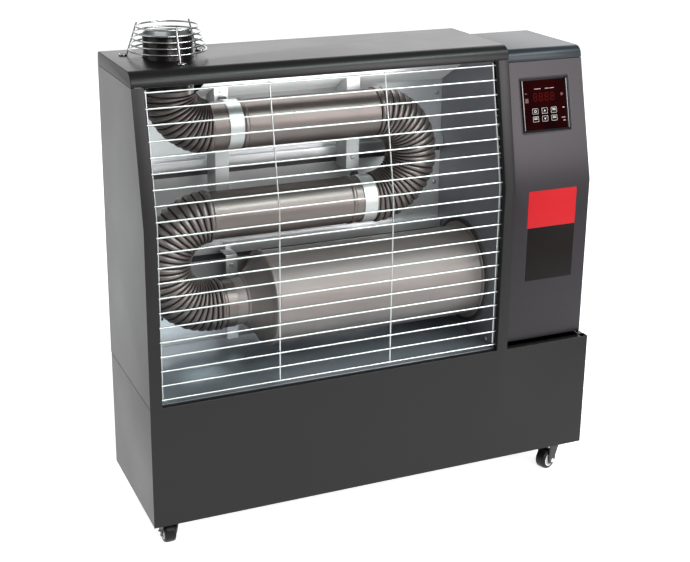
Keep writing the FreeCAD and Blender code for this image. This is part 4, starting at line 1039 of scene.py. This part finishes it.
def bent_wire(points, radius):
    """Drawn wire laid along a line of points, made a mesh."""
    clear()
    line = bpy.data.curves.new("wire_line", "CURVE")
    line.dimensions = "3D"
    run = line.splines.new("POLY")
    run.points.add(len(points) - 1)
    for knot, point in zip(run.points, points):
        knot.co = (*point, 1)
    line.bevel_depth = radius
    line.bevel_resolution = 2
    line.use_fill_caps = True
    wire = bpy.data.objects.new("wire", line)
    bpy.context.collection.objects.link(wire)
    take(wire)
    bpy.ops.object.convert(target="MESH")
    return bpy.context.object


guard_wire = 1.5 * mm
guard_base = cover_z + guard_wire
guard_rise = 51.6 * mm
first_ring = 12 * mm
foot_radius, top_radius = 70 * mm, 52.6 * mm
cage = []
for ring in range(5):
    share = (first_ring + (guard_rise - first_ring) * ring / 4) / guard_rise
    clear()
    bpy.ops.mesh.primitive_torus_add(location=(flue_x, flue_y, guard_base + guard_rise * share),
                                     major_radius=foot_radius + (top_radius - foot_radius) * share,
                                     minor_radius=guard_wire, major_segments=72, minor_segments=10)
    bpy.ops.object.transform_apply()
    cage.append(bpy.context.object)
eye_radius = 6.5 * mm
leg_out = foot_radius + 2.7 * mm
eye_middle = leg_out + eye_radius
tip_rise = guard_rise + 5 * mm
leg_line = [(leg_out + (top_radius - foot_radius) / guard_rise * tip_rise, 0, guard_base + tip_rise),
            (leg_out, 0, guard_base + 1 * mm), (leg_out + 0.3 * mm, 0, guard_base)]
for step in range(25):
    turn = math.pi + 2 * math.pi * step / 24
    leg_line.append((eye_middle + eye_radius * math.cos(turn), eye_radius * math.sin(turn), guard_base))
leg = bent_wire(leg_line, guard_wire)
guard_screws = []
for turn in (30, 150, 270):
    place = Matrix.Translation((flue_x, flue_y, 0)) @ Matrix.Rotation(math.radians(turn), 4, "Z")
    cage.append(twin(leg, place))
    guard_screws.append(place @ Vector((eye_middle, 0, cover_z)))
bpy.data.objects.remove(leg)
stand_in(joined(cage), "flue_guard", cage_wire, smooth=60)

grille_low, grille_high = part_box("guard_grille")
wire = 1.6 * mm
row_inset, bar_inset, bar_margin, bar_tail, bar_knee = 10 * mm, 12.7 * mm, 4 * mm, 3.2 * mm, 4 * mm
first_row, last_row, rows, bars = 302 * mm, 829 * mm, 21, 4
straight = bend_z - first_row
slant = math.hypot(last_row - bend_z, front_line(last_row, 0) - front_low.y)
grille = []
for row in range(rows):
    run = (straight + slant) * row / (rows - 1)
    height = first_row + run
    if run > straight:
        height = bend_z + (run - straight) * (last_row - bend_z) / slant
    depth = front_line(height, row_inset)
    grille.append(bent_wire([(grille_low.x, depth, height), (grille_high.x, depth, height)], wire))
bar_heights = (first_row - bar_tail, bend_z - bar_knee, bend_z + bar_knee, last_row + bar_tail)
for bar in range(bars):
    across = grille_low.x + bar_margin + (grille_high.x - grille_low.x - 2 * bar_margin) * bar / (bars - 1)
    grille.append(bent_wire([(across, front_line(height, bar_inset), height)
                             for height in bar_heights], wire))
stand_in(joined(grille), "guard_grille", bright_wire, smooth=60)


# Control front: bent, painted sheet beside the window, set a little back and leaning above its
# bend, with the folded opening for the display.
control_paint = new_finish("control_paint", (0.012, 0.009, 0.012), 0.3, specular=0.3)
grain(control_paint, 850, 2, 0.15)
control_low, control_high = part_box("control_front")
control_lean = math.radians(13.947)
panel_x = 345 * mm
opening_half, opening_fold = 53.5 * mm, 3 * mm


def up_slant(distance):
    """Height of a place on the slanted part, measured along it from the bend."""
    return control_bend + distance * math.cos(control_lean)


opening_low, opening_high = up_slant(95 * mm), up_slant(199 * mm)


def in_opening(at, spare=0.0):
    """Whether a place lies in the display's opening, or this far outside it."""
    return (abs(at.x - panel_x) < opening_half + spare
            and opening_low - spare < at.z < opening_high + spare)


face = flat_sheet((control_low.x, control_face, control_low.z),
                  (control_high.x, control_face, control_bend), "-Y")
pick(face, "EDGE", lambda at, edge: same(at.z, control_bend))
draw_out((0, control_setback, control_high.z - control_bend))
for axis, places in ((0, (panel_x - opening_half, panel_x + opening_half)), (2, (opening_low, opening_high))):
    score(face, axis, places, lambda at, part: at.z > control_bend)
pick(face, "FACE", lambda at, part: in_opening(at))
bpy.ops.mesh.delete(type="FACE")
pick(face, "VERT", lambda at, corner: same(abs(at.x - panel_x), opening_half)
     and (same(at.z, opening_low) or same(at.z, opening_high)))
bpy.ops.mesh.bevel(offset=4 * mm, segments=4, affect="VERTICES")
pick(face, "EDGE", lambda at, edge: edge.is_boundary and in_opening(at, 1 * mm))
draw_out((0, opening_fold * math.cos(control_lean), -opening_fold * math.sin(control_lean)))
pick(face, "EDGE", lambda at, edge: edge.is_boundary
     and (same(at.x, control_low.x) or same(at.z, control_low.z)))
draw_out((0, column_fold, 0))
clear()
bend_sheet(face, 0.9 * mm)
stand_in(face, "control_front", control_paint)


# Display: a moulded tray in the opening with sloping walls, bright edge strips, a dark red window
# with unlit figures behind it, and six printed keys that go a little way into their holes.
panel_black = new_finish("panel_black", (0.006, 0.0055, 0.0065), 0.35, specular=0.25)
grain(panel_black, 600, 2, 0.2)
window_red = new_finish("window_red", (0.006, 0.0012, 0.0014), 0.15, specular=0.0)
tint(window_red, 18, 1, (0.0025, 0.001, 0.0012), (0.012, 0.0013, 0.0016))
figure_red = new_finish("figure_red", (0.08, 0.005, 0.005), 0.6, specular=0.0)
key_black = new_finish("key_black", (0.004, 0.0025, 0.0025), 0.4, specular=0.0)
print_white = new_finish("print_white", (0.5, 0.47, 0.45), 0.6)
mark_pale = new_finish("mark_pale", (0.3, 0.24, 0.235), 0.6)
lamp_pink = new_finish("lamp_pink", (0.085, 0.012, 0.011), 0.6)
strip_silver = new_finish("strip_silver", (0.2, 0.195, 0.2), 0.4, 0.6)
on_slant = Matrix.Translation((panel_x, control_face, control_bend)) @ Matrix.Rotation(-control_lean, 4, "X")
tray_back = 7 * mm


def key_spot(number):
    """Middle of a key in the window, counted along the rows from the upper left."""
    return Matrix.Translation(((number - 1) % 3 * 20 * mm - 20 * mm, 0, (135.7 if number < 4 else 121) * mm))


def key_block(front, grown=0.0):
    """Block with the rounded outline of a key, grown all round for the hole it sits in."""
    wide, tall = 6.5 * mm + grown, 5.5 * mm + grown
    key = block((-wide, front, -tall), (wide, tray_back + grown, tall))
    round_corners(key, 1, 1.6 * mm + grown, 3)
    return key


def printed(left, right, low, high):
    """Thin printed field on the window, its edges in millimetres."""
    return block((left * mm, 3.9 * mm, low * mm), (right * mm, 4.05 * mm, high * mm))


def on_window(piece, name, finish):
    """Lean a piece that was drawn upright on to the window and set it down."""
    piece.data.transform(on_slant)
    set_down(piece, name, finish)


window_tray = block((-53.1 * mm, 0.4 * mm, 95.4 * mm), (53.1 * mm, tray_back, 198.6 * mm))
pick(window_tray, "FACE", lambda at, part: part.normal.y < -0.9)
bpy.ops.mesh.inset(thickness=1.6 * mm)
bpy.ops.mesh.inset(thickness=4 * mm, depth=-3.6 * mm)
round_corners(window_tray, 1, 3.8 * mm, 4)
face_finishes(window_tray, (panel_black, window_red), lambda part:
              int(part.normal.y < -0.9 and part.center.y > 3.5 * mm))
for number in range(1, 7):
    key_hole = key_block(3 * mm, 0.25 * mm)
    key_hole.data.transform(key_spot(number))
    merge(window_tray, key_hole, "DIFFERENCE")
window_tray.data.transform(on_slant)
stand_in(window_tray, "display_panel", panel_black, smooth=30)

strips = []
for across, deep in ((-44 * mm, 3.4 * mm), (49.6 * mm, 1.6 * mm)):
    strips.append(block((across - 0.9 * mm, deep, 101 * mm), (across + 0.9 * mm, deep + 1.2 * mm, 193 * mm)))
    soften(strips[-1], 0.3 * mm)
on_window(joined(strips), "display_edge_strips", strip_silver)

segments = []
digit_wide, digit_tall, digit_low, bar = 8, 15, 154, 1.3
half_up = (digit_tall - bar) / 2
for left in (-22, -9.8, 2.4, 14.6):
    right = left + digit_wide
    for low in (digit_low, digit_low + half_up, digit_low + 2 * half_up):
        segments.append(printed(left + bar, right - bar, low, low + bar))
    for low in (digit_low + bar, digit_low + bar + half_up):
        for side in (left, right - bar):
            segments.append(printed(side, side + bar, low, low + digit_tall / 2 - 2 * bar))
figures = joined(segments)
soften(figures, 0.3 * mm, 1)
on_window(figures, "display_figures", figure_red)

marks = joined([printed(*edges) for edges in (
    (-19, -5, 176, 177.3), (4, 12, 176, 177.3), (14, 23, 176, 177.3),
    (39, 43.5, 138, 140), (36, 44, 119.5, 121), (39, 44.5, 114, 115.5))])
soften(marks, 0.3 * mm, 1)
on_window(marks, "display_marks", mark_pale)
round_lamp = turned([(-4.1 * mm, 3 * mm), (-3.9 * mm, 3 * mm), (-3.8 * mm, 2.6 * mm)],
                    (39.5 * mm, 0, 164 * mm), to_front, 24)
on_window(joined([round_lamp, printed(-40, -33, 152, 160), printed(-40, -35, 168, 170)]),
          "display_lamps", lamp_pink)


def key_mark(number):
    """Printed sign of a key: a power ring on the first, arrows on the middle ones, bars on the rest."""
    sign_face, sign_deep = 3.5 * mm, 0.12 * mm
    sign_back = sign_face + sign_deep
    ring_in, ring_out = 1.7 * mm, 2.6 * mm
    if number == 1:
        ring = turned([(0, ring_in), (0, ring_out), (sign_deep, ring_out), (sign_deep, ring_in),
                       (0, ring_in)], (0, sign_back, 0), to_front, 24)
        return joined([ring, block((-0.4 * mm, sign_face, 1.2 * mm), (0.4 * mm, sign_back, 3.4 * mm))])
    if number in (2, 5):
        arrow = rod(0, sign_deep, ring_out, (0, sign_back, 0), to_front, 3)
        if number == 5:
            arrow.data.transform(Matrix.Rotation(math.pi, 4, "Y"))
        return arrow
    return joined([block((-3.6 * mm, sign_face, low), (3.6 * mm, sign_back, low + 1.1 * mm))
                   for low in (-0.5 * mm, 1.9 * mm)])


for number in range(1, 7):
    place = on_slant @ key_spot(number)
    key = key_block(3.6 * mm)
    pick(key, "FACE", lambda at, part: part.normal.y < -0.9)
    bpy.ops.mesh.inset(thickness=0.3 * mm)
    bpy.ops.mesh.inset(thickness=0.55 * mm)
    key.data.materials.append(key_black)
    key.data.materials.append(print_white)
    bpy.ops.mesh.select_more()
    key.active_material_index = 1
    bpy.ops.object.material_slot_assign()
    pick(key, "FACE", lambda at, part: part.normal.y < -0.9 and at.x ** 2 + at.z ** 2 < (1 * mm) ** 2)
    key.active_material_index = 0
    bpy.ops.object.material_slot_assign()
    clear()
    key.data.transform(place)
    stand_in(key, f"key_{number}", key_black, f"key_{number}")
    mark = key_mark(number)
    mark.data.transform(place)
    set_down(mark, f"key_{number}_mark", print_white, f"key_{number}")


# Name plates: two bare thin plates with rounded corners, stuck on the upright part of the control
# front, red above black.
plate_red = new_finish("plate_red", (0.38, 0.009, 0.013), 0.45, specular=0.1)
plate_black = new_finish("plate_black", (0.005, 0.003, 0.003), 0.45, specular=0.1)
for name, finish, left, right, low, high in (("red_plate", plate_red, 298, 402, 523, 594.5),
                                             ("black_plate", plate_black, 300, 402, 418, 522.8)):
    plate = block((left * mm, control_face - 0.5 * mm, low * mm),
                  (right * mm, control_face + 0.2 * mm, high * mm))
    round_corners(plate, 1, 2 * mm, 3)
    soften(plate, 0.15 * mm)
    set_down(plate, name, finish)


# Screws: zinc pan-heads in the eyes of the flue guard, along the reflector's right edge and at the
# foot of the divider.
screw_heads = [pan_screw(place, along_z) for place in guard_screws]
screw_heads += [pan_screw((225 * mm, back_y, height), to_front) for height in (741 * mm, 560 * mm)]
screw_heads.append(pan_screw((wall_low.x, -100.65 * mm, 301.2 * mm), (-1, 0, 0)))
stand_in(joined(screw_heads), "screws", zinc_plate)


# Floor, light and camera: a pale seamless floor that glows towards the back, soft lights over the
# front, on both sides and behind, a small strip under the cover, and the camera of the photo.
clear()
bpy.ops.mesh.primitive_plane_add(size=24)
floor = bpy.context.object
floor.name = "studio_floor"
pale = new_finish("pale_floor", (0.75, 0.75, 0.75), 0.9)
floor_nodes, floor_links = pale.node_tree.nodes, pale.node_tree.links
floor_shader = floor_nodes["Principled BSDF"]
floor_place = floor_nodes.new("ShaderNodeTexCoord")
floor_axes = floor_nodes.new("ShaderNodeSeparateXYZ")
floor_glow = floor_nodes.new("ShaderNodeMapRange")
for name, value in (("From Min", -1.65), ("From Max", -0.65), ("To Min", 0.04), ("To Max", 0.8)):
    floor_glow.inputs[name].default_value = value
floor_links.new(floor_place.outputs["Object"], floor_axes.inputs["Vector"])
floor_links.new(floor_axes.outputs["Y"], floor_glow.inputs["Value"])
floor_links.new(floor_glow.outputs["Result"], floor_shader.inputs["Emission Strength"])
floor_shader.inputs["Emission Color"].default_value = (1, 1, 1, 1)
floor.data.materials.append(pale)

air = bpy.data.worlds.new("studio_air")
air.use_nodes = True
air.node_tree.nodes["Background"].inputs["Color"].default_value = (1, 1, 1, 1)
air.node_tree.nodes["Background"].inputs["Strength"].default_value = 0.3
bpy.context.scene.world = air


def soft_light(name, at, aim, wide, tall, power, colour=(1, 1, 1)):
    """Rectangular soft light looking at one point."""
    lamp = bpy.data.lights.new(name, "AREA")
    lamp.shape = "RECTANGLE"
    lamp.size = wide
    lamp.size_y = tall
    lamp.energy = power
    lamp.color = colour
    holder = bpy.data.objects.new(name, lamp)
    bpy.context.collection.objects.link(holder)
    holder.location = at
    holder.rotation_euler = (Vector(aim) - Vector(at)).to_track_quat("-Z", "Y").to_euler()
    return holder


soft_light("key_light", (-0.3, -3.2, 2.0), (0, 0, 0.65), 1.6, 1.0, 42)
soft_light("roof_strip", (1.4, -2.2, 3.2), (0.1, 0, 0.8), 3.2, 0.25, 105, (0.86, 1, 0.98))
soft_light("left_light", (-3.0, 0.2, 1.5), (0, 0, 0.5), 2.4, 2.0, 18)
soft_light("right_light", (1.8, -3.0, 1.5), (0.2, 0, 0.7), 1.6, 1.8, 64, (1, 0.95, 0.97))
soft_light("back_wall", (1.6, 3.6, 2.0), (0, 0, 0.9), 5.0, 2.0, 56)
under_cap = soft_light("under_cap", (-0.09, 0.0, 0.79), (-0.09, 0.03, 0.83), 0.38, 0.03, 0.45)
under_cap.visible_camera = False

lens = bpy.data.cameras.new("photo_camera")
lens.lens = 67.05
lens.sensor_width = 36
lens.shift_x = 0.0507
lens.shift_y = -0.0957
eye = bpy.data.objects.new("photo_camera", lens)
bpy.context.collection.objects.link(eye)
yaw, pitch, roll = (math.radians(turn) for turn in (22.565, 17.447, 0.225))
ahead = Vector((math.sin(yaw) * math.cos(pitch), math.cos(yaw) * math.cos(pitch), -math.sin(pitch)))
level = Vector((math.cos(yaw), -math.sin(yaw), 0))
upward = level.cross(ahead)
across = level * math.cos(roll) + upward * math.sin(roll)
overhead = upward * math.cos(roll) - level * math.sin(roll)
axes = Matrix((across, overhead, -ahead)).transposed().to_4x4()
eye.matrix_world = Matrix.Translation((-0.9517, -2.0792, 1.2657)) @ axes
bpy.context.scene.camera = eye
bpy.context.scene.view_settings.view_transform = "Standard"
